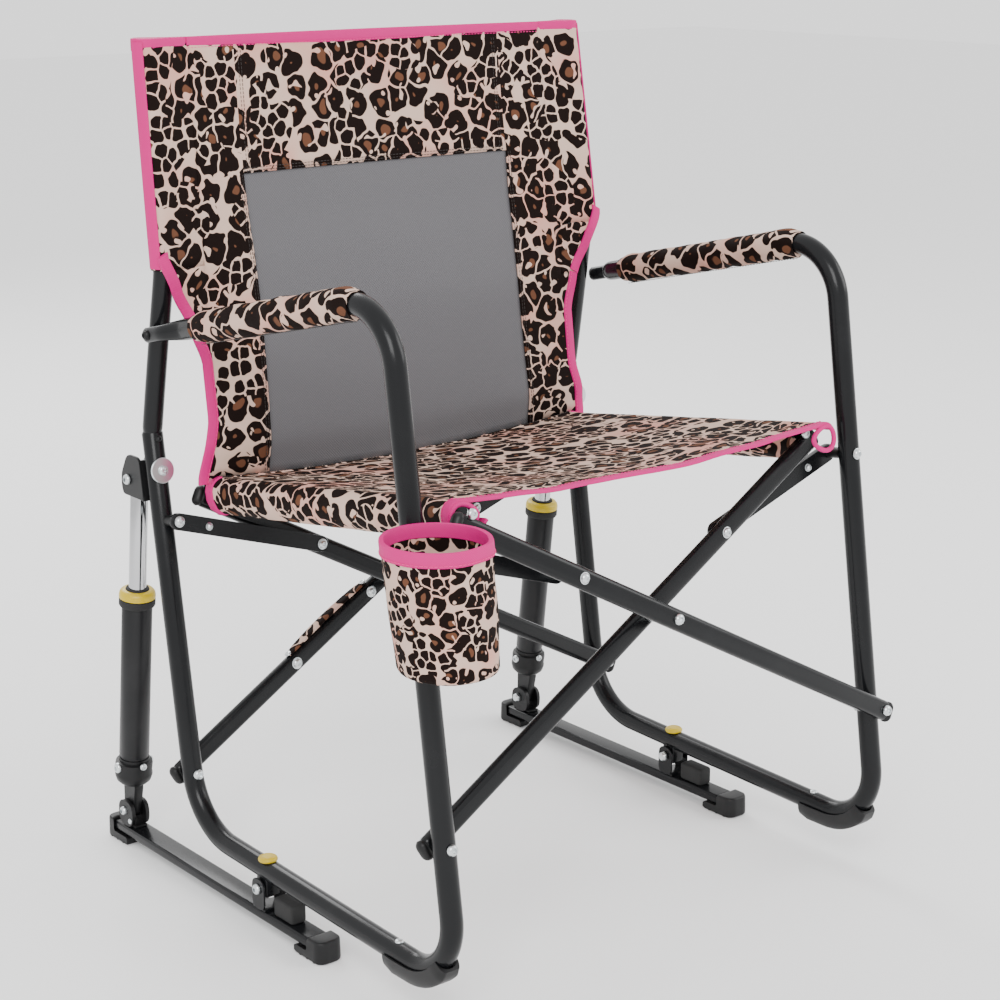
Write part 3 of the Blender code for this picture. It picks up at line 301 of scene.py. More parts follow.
def spot_field(tree, place, cell, gap, reach, bend):
    """Rounded spots on a loose grid of cells, and the hearts inside them."""
    cells = scaled(tree, place, 1.0 / cell)
    wobble = add_node(tree, "ShaderNodeTexNoise", {"Vector": cells, "Scale": 1.3, "Detail": 1.0,
                                                  "Roughness": 0.5}, noise_dimensions="2D")
    shift = add_node(tree, "ShaderNodeVectorMath", {0: wobble.outputs["Color"],
                                                    1: (-0.5, -0.5, -0.5)}, operation="ADD")
    bent = add_node(tree, "ShaderNodeVectorMath",
                    {0: cells, 1: scaled(tree, shift.outputs[0], bend)}, operation="ADD")
    grid = {"Vector": bent.outputs[0], "Scale": 1.0, "Randomness": 0.72}
    spots = add_node(tree, "ShaderNodeTexVoronoi", grid, voronoi_dimensions="2D")
    edges = add_node(tree, "ShaderNodeTexVoronoi", grid, voronoi_dimensions="2D",
                     feature="DISTANCE_TO_EDGE")
    tone = add_node(tree, "ShaderNodeSeparateColor", {0: spots.outputs["Color"]})
    near, rim = spots.outputs["Distance"], edges.outputs["Distance"]
    size = calc(tree, "MULTIPLY_ADD", tone.outputs[1], 0.14, reach - 0.07)
    inner = calc(tree, "SMOOTH_MIN", calc(tree, "SUBTRACT", rim, gap),
                 calc(tree, "MULTIPLY", calc(tree, "SUBTRACT", size, near), 0.62), 0.08)
    body = ramp(tree, inner, -0.008, 0.008)
    middle = calc(tree, "MULTIPLY_ADD", tone.outputs[0], 0.24, -0.02)
    heart = add_node(tree, "ShaderNodeMapRange",
                     {"Value": near, "From Min": middle,
                      "From Max": calc(tree, "ADD", middle, 0.045),
                      "To Min": 1.0, "To Max": 0.0}, interpolation_type="SMOOTHSTEP")
    return body, heart.outputs["Result"]


def spotted_print_group():
    """Animal print: big dark spots with brown hearts, notched, and patches of small dark ones."""
    group, source, sink = new_group("spotted_print", [("Place", None)],
                                    [("Color", "NodeSocketColor")])
    place = source.outputs["Place"]
    big, heart = spot_field(group, place, 0.0275, 0.040, 0.55, 0.50)
    small, _ = spot_field(group, place, 0.0150, 0.065, 0.54, 0.35)
    notch = add_node(group, "ShaderNodeTexNoise", {"Vector": scaled(group, place, 85.0),
                                                  "Scale": 1.0, "Detail": 0.0},
                     noise_dimensions="2D")
    big = calc(group, "MULTIPLY", big, ramp(group, notch.outputs["Fac"], 0.255, 0.275))
    patch = add_node(group, "ShaderNodeTexNoise", {"Vector": scaled(group, place, 17.0),
                                                  "Scale": 1.0, "Detail": 1.0},
                     noise_dimensions="2D")
    choose = ramp(group, patch.outputs["Fac"], 0.555, 0.560)
    spots = add_node(group, "ShaderNodeMix", {0: choose, 2: big, 3: small}).outputs[0]
    fade = add_node(group, "ShaderNodeTexNoise", {"Vector": place, "Scale": 11.0, "Detail": 2.0})
    ground = blend_color(group, ramp(group, fade.outputs["Fac"], 0.42, 0.72),
                         (0.66, 0.47, 0.38, 1.0), (0.68, 0.34, 0.27, 1.0))
    hearts = calc(group, "MULTIPLY", heart, calc(group, "SUBTRACT", 1.0, choose))
    dark = blend_color(group, hearts, (0.0070, 0.0028, 0.0020, 1.0), (0.135, 0.055, 0.030, 1.0))
    group.links.new(blend_color(group, spots, ground, dark), sink.inputs["Color"])
    return group


def weave_group():
    """Plain weave over a cloth laid out in metres: height, and a small tone variation."""
    group, source, sink = new_group("plain_weave", [("Place", None), ("Thread", 0.0009)],
                                    [("Height", "NodeSocketFloat"), ("Tone", "NodeSocketFloat")])
    parts = add_node(group, "ShaderNodeSeparateXYZ", {0: source.outputs["Place"]})
    turns = calc(group, "DIVIDE", math.pi, source.outputs["Thread"])
    warp = calc(group, "SINE", calc(group, "MULTIPLY", parts.outputs[0], turns))
    weft = calc(group, "SINE", calc(group, "MULTIPLY", parts.outputs[1], turns))
    crossing = calc(group, "MULTIPLY", warp, weft)
    height = calc(group, "MULTIPLY_ADD", crossing, 0.5, 0.5)
    slub = add_node(group, "ShaderNodeTexNoise", {"Vector": source.outputs["Place"],
                                                 "Scale": 420.0, "Detail": 2.0})
    tone = calc(group, "MULTIPLY_ADD", slub.outputs["Fac"], 0.30, 0.85)
    group.links.new(calc(group, "MULTIPLY", height, tone), sink.inputs["Height"])
    group.links.new(tone, sink.inputs["Tone"])
    return group


def worn_coat_group():
    """Powder coat or moulded plastic: orange peel height, roughness and a dusty tone."""
    group, source, sink = new_group(
        "worn_coat", [("Place", None), ("Peel", 900.0), ("Rough", 0.3), ("Spread", 0.12)],
        [("Height", "NodeSocketFloat"), ("Roughness", "NodeSocketFloat"),
         ("Dust", "NodeSocketFloat")])
    peel = add_node(group, "ShaderNodeTexNoise", {"Vector": source.outputs["Place"],
                                                 "Scale": source.outputs["Peel"], "Detail": 2.0})
    smear = add_node(group, "ShaderNodeTexNoise", {"Vector": source.outputs["Place"],
                                                  "Scale": 14.0, "Detail": 5.0, "Roughness": 0.65})
    rough = calc(group, "MULTIPLY_ADD", calc(group, "SUBTRACT", smear.outputs["Fac"], 0.5),
                 source.outputs["Spread"], source.outputs["Rough"])
    group.links.new(peel.outputs["Fac"], sink.inputs["Height"])
    group.links.new(rough, sink.inputs["Roughness"])
    group.links.new(ramp(group, smear.outputs["Fac"], 0.45, 0.80), sink.inputs["Dust"])
    return group


def add_bump(tree, shader, height, strength, distance):
    bump = add_node(tree, "ShaderNodeBump", {"Height": height})
    bump.inputs["Strength"].default_value = strength
    bump.inputs["Distance"].default_value = distance
    tree.links.new(bump.outputs["Normal"], shader.inputs["Normal"])


def object_place(tree):
    return tree.nodes.new("ShaderNodeTexCoord").outputs["Object"]


def cloth_place(tree):
    node = tree.nodes.new("ShaderNodeUVMap")
    node.uv_map = "cloth"
    return node.outputs["UV"]


def coated_material(name, color, dusty, rough, spread, peel, bump, metallic=0.0, coat=0.0,
                    specular=0.5):
    """Painted or moulded surface made with the worn coat group."""
    material, shader, tree = new_material(name, rough, metallic)
    group = add_node(tree, "ShaderNodeGroup", node_tree=GROUPS["coat"])
    tree.links.new(object_place(tree), group.inputs["Place"])
    group.inputs["Peel"].default_value = peel
    group.inputs["Rough"].default_value = rough
    group.inputs["Spread"].default_value = spread
    tint = blend_color(tree, group.outputs["Dust"], color, dusty)
    tree.links.new(tint, shader.inputs["Base Color"])
    tree.links.new(group.outputs["Roughness"], shader.inputs["Roughness"])
    shader.inputs["Specular IOR Level"].default_value = specular
    shader.inputs["Coat Weight"].default_value = coat
    shader.inputs["Coat Roughness"].default_value = 0.12
    add_bump(tree, shader, group.outputs["Height"], bump, 0.00008)
    return material


def print_material():
    material, shader, tree = new_material("spotted_cloth", 0.82)
    place = cloth_place(tree)
    pattern = add_node(tree, "ShaderNodeGroup", {"Place": place}, node_tree=GROUPS["print"])
    weave = add_node(tree, "ShaderNodeGroup", {"Place": place}, node_tree=GROUPS["weave"])
    shade = blend_color(tree, calc(tree, "MULTIPLY", weave.outputs["Tone"], 0.10),
                        pattern.outputs["Color"], (0.006, 0.003, 0.002, 1.0))
    tree.links.new(shade, shader.inputs["Base Color"])
    shader.inputs["Specular IOR Level"].default_value = 0.10
    add_bump(tree, shader, weave.outputs["Height"], 0.55, 0.00025)
    return material


def cloth_material(name, color, shadow, thread, sheen, bump, rough=0.8):
    """Single colour woven cloth or tape."""
    material, shader, tree = new_material(name, rough)
    weave = add_node(tree, "ShaderNodeGroup", {"Place": cloth_place(tree), "Thread": thread},
                     node_tree=GROUPS["weave"])
    dip = calc(tree, "SUBTRACT", 1.0, weave.outputs["Height"])
    tint = blend_color(tree, calc(tree, "MULTIPLY", dip, 0.55), color, shadow)
    tree.links.new(tint, shader.inputs["Base Color"])
    shader.inputs["Sheen Weight"].default_value = sheen
    shader.inputs["Specular IOR Level"].default_value = 0.3
    add_bump(tree, shader, weave.outputs["Height"], bump, 0.0003)
    return material


def metal_material(name, color, rough, spread, peel, bump):
    return coated_material(name, color, tuple(c * 0.82 for c in color[:3]) + (1.0,), rough, spread,
                           peel, bump, metallic=1.0)


GROUPS = {}
FINISH = {}


def make_materials():
    GROUPS.update(print=spotted_print_group(), weave=weave_group(), coat=worn_coat_group())
    FINISH.update(
        tube=coated_material("charcoal_powder_coat", (0.0050, 0.0054, 0.0062, 1.0),
                             (0.0085, 0.0090, 0.0100, 1.0), 0.24, 0.14, 1400.0, 0.25, 0.0, 0.06,
                             0.20),
        plastic=coated_material("black_moulding", (0.0050, 0.0050, 0.0055, 1.0),
                                (0.010, 0.010, 0.0105, 1.0), 0.42, 0.20, 1800.0, 0.35,
                                specular=0.3),
        rubber=coated_material("black_rubber", (0.009, 0.009, 0.009, 1.0),
                               (0.018, 0.018, 0.018, 1.0), 0.80, 0.12, 1200.0, 0.5),
        cylinder=coated_material("satin_black", (0.0060, 0.0060, 0.0070, 1.0),
                                 (0.012, 0.012, 0.013, 1.0), 0.36, 0.14, 1500.0, 0.2,
                                 specular=0.3),
        yellow=coated_material("yellow_moulding", (0.56, 0.40, 0.0003, 1.0),
                               (0.46, 0.32, 0.0004, 1.0), 0.36, 0.14, 900.0, 0.2),
        chrome=metal_material("polished_rod", (0.50, 0.50, 0.51, 1.0), 0.12, 0.06, 300.0, 0.03),
        zinc=metal_material("zinc_plate", (0.66, 0.69, 0.70, 1.0), 0.30, 0.18, 700.0, 0.15),
        print=print_material(),
        pink=cloth_material("pink_binding", (0.62, 0.0003, 0.185, 1.0), (0.42, 0.0002, 0.120, 1.0),
                            0.0011, 0.0, 0.6, 0.62),
        mesh=cloth_material("grey_mesh", (0.130, 0.127, 0.135, 1.0), (0.060, 0.058, 0.064, 1.0),
                            0.0016, 0.10, 0.8),
        webbing=cloth_material("black_webbing", (0.020, 0.019, 0.020, 1.0),
                               (0.008, 0.008, 0.008, 1.0), 0.0013, 0.15, 0.7),
        thread=cloth_material("pink_thread", (0.90, 0.03, 0.28, 1.0), (0.6, 0.01, 0.15, 1.0),
                              0.0005, 0.05, 0.3, 0.6),
        dark_thread=cloth_material("dark_thread", (0.03, 0.022, 0.02, 1.0),
                                   (0.01, 0.01, 0.01, 1.0), 0.0005, 0.2, 0.3, 0.7),
    )


# ---- mesh helpers --------------------------------------------------------------------------
def finish_piece(name, work, finish, body=None, replaced=(), smooth=40.0):
    """Turns a bmesh into a piece with its material and body, and hides the CAD nodes it stands
    for.
    """
    bmesh.ops.recalc_face_normals(work, faces=work.faces)
    mesh = bpy.data.meshes.new(name)
    work.to_mesh(mesh)
    work.free()
    piece = bpy.data.objects.new(name, mesh)
    bpy.context.scene.collection.objects.link(piece)
    mesh.materials.append(FINISH[finish])
    mesh.shade_smooth()
    mesh.set_sharp_from_angle(angle=math.radians(smooth))
    if body:
        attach(piece, body)
    if replaced:
        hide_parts(*replaced)
    return piece


def add_rings(work, rings, closed_around=True, caps=True, places=None):
    """Quads between rings of points, with cloth coordinates in metres."""
    layer = work.loops.layers.uv.get("cloth") or work.loops.layers.uv.new("cloth")
    grid = [[work.verts.new(point) for point in ring] for ring in rings]
    count = len(rings[0])
    if places is None:
        along = [0.0]
        for first, second in zip(rings, rings[1:]):
            along.append(along[-1] + (Vector(second[0]) - Vector(first[0])).length)
        around = [0.0]
        middle = rings[len(rings) // 2]
        for k in range(count):
            step = (Vector(middle[(k + 1) % count]) - Vector(middle[k])).length
            around.append(around[-1] + step)
        places = [[(around[k], along[r]) for k in range(count + 1)] for r in range(len(rings))]
    spans = count if closed_around else count - 1
    for r in range(len(rings) - 1):
        for k in range(spans):
            n = (k + 1) % count
            face = work.faces.new((grid[r][k], grid[r][n], grid[r + 1][n], grid[r + 1][k]))
            marks = (places[r][k], places[r][k + 1], places[r + 1][k + 1], places[r + 1][k])
            for loop, mark in zip(face.loops, marks):
                loop[layer].uv = mark
    if caps and closed_around:
        for ring in (grid[0], grid[-1]):
            face = work.faces.new(ring)
            for loop in face.loops:
                loop[layer].uv = (loop.vert.co.x, loop.vert.co.y)
    return grid


def path_frames(points):
    """A tangent, side and top direction at each point of a path, without twist."""
    tangents = []
    for index in range(len(points)):
        before = points[max(0, index - 1)]
        after = points[min(len(points) - 1, index + 1)]
        tangents.append((after - before).normalized())
    side = tangents[0].cross(ACROSS)
    if side.length < 0.3:
        side = tangents[0].cross(UP)
    side.normalize()
    frames = []
    for tangent in tangents:
        side = (side - tangent * side.dot(tangent)).normalized()
        frames.append((tangent, side, tangent.cross(side)))
    return frames


def sweep(work, points, radius, sides=20, shape=None, caps=True, round_end=False):
    """A tube along points; radius is a value or one per point; shape scales side and top."""
    points = [Vector(point) for point in points]
    radii = radius if isinstance(radius, (list, tuple)) else [radius] * len(points)
    frames = path_frames(points)
    rings = []
    for index, (point, size) in enumerate(zip(points, radii)):
        _, side, top = frames[index]
        stretch = shape[index] if shape else (1.0, 1.0)
        rings.append([point + side * (size * stretch[0] * math.cos(2.0 * math.pi * k / sides))
                      + top * (size * stretch[1] * math.sin(2.0 * math.pi * k / sides))
                      for k in range(sides)])
    if round_end:
        soft = 0.25 * radii[0]
        for index, sign in ((0, -1.0), (-1, 1.0)):
            middle = points[index]
            ring = [middle + (p - middle) * 0.86 + frames[index][0] * (sign * soft)
                    for p in rings[index]]
            rings.insert(0, ring) if index == 0 else rings.append(ring)
    return add_rings(work, rings, caps=caps)


def axis_matrix(origin, axis, hint=None):
    z_axis = Vector(axis).normalized()
    hint = Vector(hint) if hint is not None else (ACROSS if abs(z_axis.x) < 0.9 else UP)
    x_axis = (hint - z_axis * hint.dot(z_axis)).normalized()
    matrix = Matrix((x_axis, z_axis.cross(x_axis), z_axis)).transposed().to_4x4()
    matrix.translation = origin
    return matrix


def lathe(work, profile, origin, axis, steps=28, facets=None):
    """Turns (radius, height) points about axis; facets makes those rows polygons."""
    matrix = axis_matrix(origin, axis)
    rings = []
    for index, (radius, height) in enumerate(profile):
        ring = []
        for k in range(steps):
            angle = 2.0 * math.pi * k / steps
            size = max(radius, 0.00005)
            if facets and index in facets[1]:
                wedge = 2.0 * math.pi / facets[0]
                size *= math.cos(0.5 * wedge) / math.cos((angle % wedge) - 0.5 * wedge)
            ring.append(matrix @ Vector((size * math.cos(angle), size * math.sin(angle), height)))
        rings.append(ring)
    return add_rings(work, rings)


def rounded_box(work, size, matrix, radius=0.002, steps=3):
    """A box with rounded edges on its long sides and softened ends; local Z is its length."""
    width, depth, length = size
    outline = []
    for cx, cy, start in ((1, 1, 0), (-1, 1, 1), (-1, -1, 2), (1, -1, 3)):
        for k in range(steps + 1):
            angle = 0.5 * math.pi * (start + k / steps)
            outline.append((cx * (0.5 * width - radius) + radius * math.cos(angle),
                            cy * (0.5 * depth - radius) + radius * math.sin(angle)))
    rings = []
    lows = []
    for k in range(steps, -1, -1):
        angle = 0.5 * math.pi * k / steps
        lows.append((-0.5 * length + radius * (1.0 - math.sin(angle)),
                     radius * (1.0 - math.cos(angle))))
    rows = lows + [(-height, inset) for height, inset in lows[::-1]]
    for height, inset in rows:
        fx = (0.5 * width - inset) / (0.5 * width)
        fy = (0.5 * depth - inset) / (0.5 * depth)
        rings.append([matrix @ Vector((x * fx, y * fy, height)) for x, y in outline])
    return add_rings(work, rings)


def plate(work, outline, thickness, matrix, bevel=0.0006):
    """A flat plate from an outline in local XY, centred on local Z, with softened edges."""
    centre = Vector((sum(p[0] for p in outline) / len(outline),
                     sum(p[1] for p in outline) / len(outline)))
    rings = []
    for height, inset in ((-0.5 * thickness, bevel), (-0.5 * thickness + bevel, 0.0),
                          (0.5 * thickness - bevel, 0.0), (0.5 * thickness, bevel)):
        ring = []
        for x, y in outline:
            away = Vector((x, y)) - centre
            spot = centre + away * (1.0 - inset / max(away.length, 0.001))
            ring.append(matrix @ Vector((spot.x, spot.y, height)))
        rings.append(ring)
    return add_rings(work, rings)


def round_outline(points, radius, steps=5):
    """Rounds the corners of a closed (x, y) outline."""
    result = []
    count = len(points)
    for index, corner in enumerate(points):
        corner = Vector(corner)
        back = Vector(points[index - 1]) - corner
        ahead = Vector(points[(index + 1) % count]) - corner
        size = min(radius, 0.45 * back.length, 0.45 * ahead.length)
        start = corner + back.normalized() * size
        end = corner + ahead.normalized() * size
        for k in range(steps + 1):
            t = k / steps
            result.append(tuple(start * (1 - t) ** 2 + corner * (2 * t * (1 - t)) + end * t * t))
    return result


def bend_points(corners, step=math.radians(4.5)):
    points = [Vector(corners[0][0])]
    for index in range(1, len(corners) - 1):
        corner = Vector(corners[index][0])
        radius = corners[index][1]
        back = (Vector(corners[index - 1][0]) - corner).normalized()
        ahead = (Vector(corners[index + 1][0]) - corner).normalized()
        half = 0.5 * back.angle(ahead)
        centre = corner + (back + ahead).normalized() * (radius / math.sin(half))
        start = corner + back * (radius / math.tan(half)) - centre
        end = corner + ahead * (radius / math.tan(half)) - centre
        turn = start.angle(end)
        count = max(3, round(turn / step))
        for k in range(count + 1):
            t = k / count
            points.append(centre + start * (math.sin((1 - t) * turn) / math.sin(turn))
                          + end * (math.sin(t * turn) / math.sin(turn)))
    points.append(Vector(corners[-1][0]))
    return points


# ---- side frames ---------------------------------------------------------------------------
def frame_corners(side):
    rear_z = ground_rail_z(leg_y(REAR_PLANE_S, GROUND_RAIL_Z))
    swage_y = arm_end_y() - ARM_SWAGE
    return [
        (side_point(side, leg_y(REAR_PLANE_S, LEG_TOP_Z), LEG_TOP_Z), 0.0),
        (side_point(side, leg_y(REAR_PLANE_S, rear_z), rear_z), REAR_BEND_R),
        (side_point(side, leg_y(FRONT_PLANE_S, GROUND_RAIL_Z), GROUND_RAIL_Z),
         FRONT_BEND_R),
        (side_point(side, leg_y(FRONT_PLANE_S, ARM_FRONT_Z), ARM_FRONT_Z), ARM_BEND_R),
        (side_point(side, swage_y, arm_z(swage_y)), 0.0),
    ]


def arm_end_y():
    """Depth where the armrest line crosses the upright line."""
    foot_y = leg_y(REAR_PLANE_S, LEG_TOP_Z)
    slope = (LUMBAR[0] - foot_y) / (LUMBAR[1] - LEG_TOP_Z)
    front_y = leg_y(FRONT_PLANE_S, ARM_FRONT_Z)
    z = ((ARM_FRONT_Z - ARM_FALL * (foot_y - slope * LEG_TOP_Z - front_y))
         / (1.0 + ARM_FALL * slope))
    return foot_y + slope * (z - LEG_TOP_Z)


def make_side_frame(name, side):
    work = bmesh.new()
    points = bend_points(frame_corners(side))
    radii = [TUBE_R] * len(points)
    shape = [(1.0, 1.0)] * len(points)
    swage_y = arm_end_y() - ARM_SWAGE
    lap = UPRIGHT_R + GAP + 0.0050
    for step in range(1, 13):
        t = step / 12.0
        y = swage_y + (ARM_SWAGE - ARM_TIP) * t
        ease = smooth_step(t / 0.55)
        points.append(side_point(side, y, arm_z(y), lap * ease))
        radii.append(mix(TUBE_R, 0.0078, ease))
        shape.append((1.0, mix(1.0, 0.62, ease)))
    sweep(work, points, radii, sides=28, shape=shape, round_end=True)
    lug_size = (0.0180, 0.0180, 0.0240)
    centre = side_point(side, ROCK_Y, 0.5 * (ground_rail_z(ROCK_Y) - TUBE_R + 0.0345))
    rounded_box(work, lug_size, Matrix.Translation(centre + UP * 0.004), 0.002)
    finish_piece("frame_tube_" + name, work, "tube", "frame_" + name, ["side_frame_" + name])


def upright_points(side, low_z=None, high_z=None, count=60):
    low_z = LEG_TOP_Z + 0.0006 if low_z is None else low_z
    high_z = BACK_TOP[1] if high_z is None else high_z
    points = []
    for k in range(count + 1):
        z = mix(low_z, high_z, k / count)
        soft = 0.012
        y = sum(upright_y(z + d * soft) for d in (-1.0, -0.5, 0.0, 0.5, 1.0)) / 5.0
        points.append(side_point(side, y, z, -upright_lean(z)))
    return points


def make_back_upright(name, side):
    work = bmesh.new()
    points = upright_points(side)
    radii = [UPRIGHT_R] * len(points)
    radii[0] = UPRIGHT_R * 0.93
    sweep(work, points, radii, sides=28, round_end=True)
    finish_piece("back_tube_" + name, work, "tube", "frame_" + name, ["back_upright_" + name])


def make_foot(name, side):
    """Front foot pad: a cradle under the bend and a retaining screw."""
    front_y = leg_y(FRONT_PLANE_S, GROUND_RAIL_Z)
    turn = math.radians(90.0) + LEG_LEAN
    tangent_y = front_y + FRONT_BEND_R * math.tan(0.5 * turn)
    path = [(tangent_y + 0.036 * (1.0 - k / 6.0), GROUND_RAIL_Z, 0.0) for k in range(6)]
    for k in range(15):
        angle = math.radians(54.0) * k / 14.0
        path.append((tangent_y - FRONT_BEND_R * math.sin(angle),
                     GROUND_RAIL_Z + FRONT_BEND_R * (1.0 - math.cos(angle)), angle))
    work = bmesh.new()
    rings = []
    for index, (y, z, angle) in enumerate(path):
        down = Vector((0.0, -math.sin(angle), -math.cos(angle)))
        end = min(index, len(path) - 1 - index)
        swell = 0.0172 - 0.0030 * (1.0 - smooth_step(end / 2.0))
        half = 0.0135 - 0.0015 * (1.0 - smooth_step(end / 2.0))
        ring = []
        for k in range(25):
            sweep_angle = math.pi * k / 24.0
            across = half * math.cos(sweep_angle)
            drop = swell * min(1.0, 1.35 * math.sin(sweep_angle)) ** 0.8
            ring.append(side_point(side, y, z) + ACROSS * across + down * drop)
        inner = TUBE_R + GAP
        for k in range(25):
            sweep_angle = math.pi * (1.0 - k / 24.0)
            ring.append(side_point(side, y, z) + ACROSS * (inner * math.cos(sweep_angle))
                        + down * (inner * math.sin(sweep_angle)))
        rings.append(ring)
    add_rings(work, rings)
    finish_piece("foot_pad_" + name, work, "plastic", "frame_" + name, ["foot_" + name])
    screw_y = tangent_y + 0.024
    top = side_point(side, screw_y, ground_rail_z(screw_y) + TUBE_R)
    turned_piece("foot_screw_" + name, "zinc", "frame_" + name, (),
                 (screw_profile(0.0042, 0.0018), top, UP, 20))


def screw_profile(radius, height):
    """Domed head with a small recess in the middle, from its seat to the recess floor."""
    return [(radius, -0.0004), (radius, 0.3 * height), (0.88 * radius, 0.72 * height),
            (0.62 * radius, 0.96 * height), (0.40 * radius, height),
            (0.34 * radius, 0.55 * height), (0.0, 0.45 * height)]


def make_rail_cap(name, side):
    top = ground_rail_z(ROCK_Y) + TUBE_R
    profile = [(0.0094, -0.0012), (0.0101, -0.0002), (0.0101, 0.0012), (0.0094, 0.0026),
               (0.0078, 0.0034), (0.0074, 0.0029), (0.0060, 0.0029), (0.0056, 0.0035),
               (0.0, 0.0038)]
    turned_piece("pivot_cap_" + name, "yellow", "frame_" + name, ["rail_cap_" + name],
                 (profile, side_point(side, ROCK_Y, top), UP, 32))


# ---- bolts ---------------------------------------------------------------------------------
def add_bolt(work, start, axis, length, head_r=0.0056):
    """Pan head with a hexagon recess at start + axis * length, shank, and a lock nut at start."""
    axis = Vector(axis).normalized()
    head = [(0.0030, -length), (0.0030, 0.0), (head_r, 0.0), (head_r, 0.0013),
            (0.86 * head_r, 0.0031), (0.60 * head_r, 0.0040), (0.0026, 0.0041), (0.0025, 0.0016),
            (0.0, 0.0014)]
    lathe(work, head, start + axis * length, axis, 24, (6, (6, 7)))
    nut = [(0.0031, 0.0), (0.0054, 0.0), (0.0060, -0.0006), (0.0060, -0.0034), (0.0052, -0.0044),
           (0.0040, -0.0056), (0.0031, -0.0056), (0.0, -0.0050)]
    lathe(work, nut, start, axis, 24, (6, (1, 2, 3, 4)))


def turned_piece(name, finish, body, replaced, *turns):
    """A piece made of turned shapes, each given as (profile, origin, axis, steps)."""
    work = bmesh.new()
    for profile, origin, axis, steps in turns:
        lathe(work, profile, origin, axis, steps)
    return finish_piece(name, work, finish, body, replaced)


def add_rivet(work, place, axis, radius=0.0050):
    profile = [(1.18 * radius, -0.0003), (1.18 * radius, 0.0006), (radius, 0.0008),
               (0.94 * radius, 0.0020), (0.68 * radius, 0.0033), (0.42 * radius, 0.0037),
               (0.34 * radius, 0.0024), (0.0, 0.0022)]
    lathe(work, profile, place, axis, 24)


def make_scissor_bolts():
    reach = BAR_LAYER + 0.5 * BAR_THICK + GAP
    for end, plane in PLANES.items():
        work = bmesh.new()
        start = fold_point(0.0, plane + reach, crossing_v())
        add_bolt(work, start, -LEG_NORMAL, 2.0 * reach)
        bush = [(0.0031, 0.0), (0.0060, 0.0), (0.0060, 2.0 * (reach - BAR_THICK - 2.0 * GAP)),
                (0.0031, 2.0 * (reach - BAR_THICK - 2.0 * GAP))]
        lathe(work, bush, start - LEG_NORMAL * (BAR_THICK + 2.0 * GAP), -LEG_NORMAL, 24)
        finish_piece("crossing_bolt_" + end, work, "zinc", "x_frame_a", ["cross_bolt_" + end])
        face = TUBE_R + 0.0006
        for name, side in SIDES:
            rear = reach if side < 0 else face
            work = bmesh.new()
            add_bolt(work, fold_point(side * HALF_TRACK, plane + rear, LOW_V), -LEG_NORMAL,
                     reach + face)
            finish_piece(end + "_leg_bolt_" + name, work, "zinc", "frame_" + name,
                         [end + "_pivot_bolt_" + name])


# ---- scissor bars, links and rails ---------------------------------------------------------
def bar_direction(side):
    return ACROSS * (side * math.cos(SPREAD)) + LEG_UP * math.sin(SPREAD)


def oval_bar(work, start, end, width, thick, swell=1.0):
    """Flat-sided oval tube between two points, with its flat faces square to the legs."""
    along = (end - start).normalized()
    matrix = axis_matrix(0.5 * (start + end), along, LEG_NORMAL.cross(along))
    rounded_box(work, (width * swell, thick * swell, (end - start).length), matrix,
                0.47 * thick * swell, 6)


def make_cross_bars():
    low = -(HALF_TRACK / math.cos(SPREAD) + 0.0140)
    high = RAIL_ARM + 0.0120
    plug = 0.0115
    for end, plane in PLANES.items():
        for bar, top_side, layer in (("a", -1.0, -BAR_LAYER), ("b", 1.0, BAR_LAYER)):
            direction = bar_direction(top_side)
            crossing = fold_point(0.0, plane + layer, crossing_v())
            work = bmesh.new()
            oval_bar(work, crossing + direction * (low + 0.006),
                     crossing + direction * (high - 0.006), BAR_WIDTH, BAR_THICK)
            finish_piece("%s_scissor_bar_%s" % (end, bar), work, "tube", "x_frame_" + bar,
                         ["%s_bar_%s" % (end, bar)])
            work = bmesh.new()
            for tip, inward in ((low, plug), (high, -plug)):
                oval_bar(work, crossing + direction * tip, crossing + direction * (tip + inward),
                         BAR_WIDTH, BAR_THICK, 1.05)
            finish_piece("%s_bar_plugs_%s" % (end, bar), work, "plastic", "x_frame_" + bar)


def link_layers(end):
    inner = TUBE_R + GAP + 0.5 * LINK_THICK
    outer = BAR_LAYER + 0.5 * BAR_THICK + GAP + 0.5 * LINK_THICK
    return {"front": {"right": inner, "left": outer},
            "rear": {"right": -outer, "left": -inner}}[end]


def link_points(end, name, side):
    layer = PLANES[end] + link_layers(end)[name]
    at_leg = fold_point(side * HALF_TRACK, layer, LINK_V)
    at_bar = fold_point(side * LINK_ARM * math.cos(SPREAD), layer,
                        crossing_v() + LINK_ARM * math.sin(SPREAD))
    return at_leg, at_bar


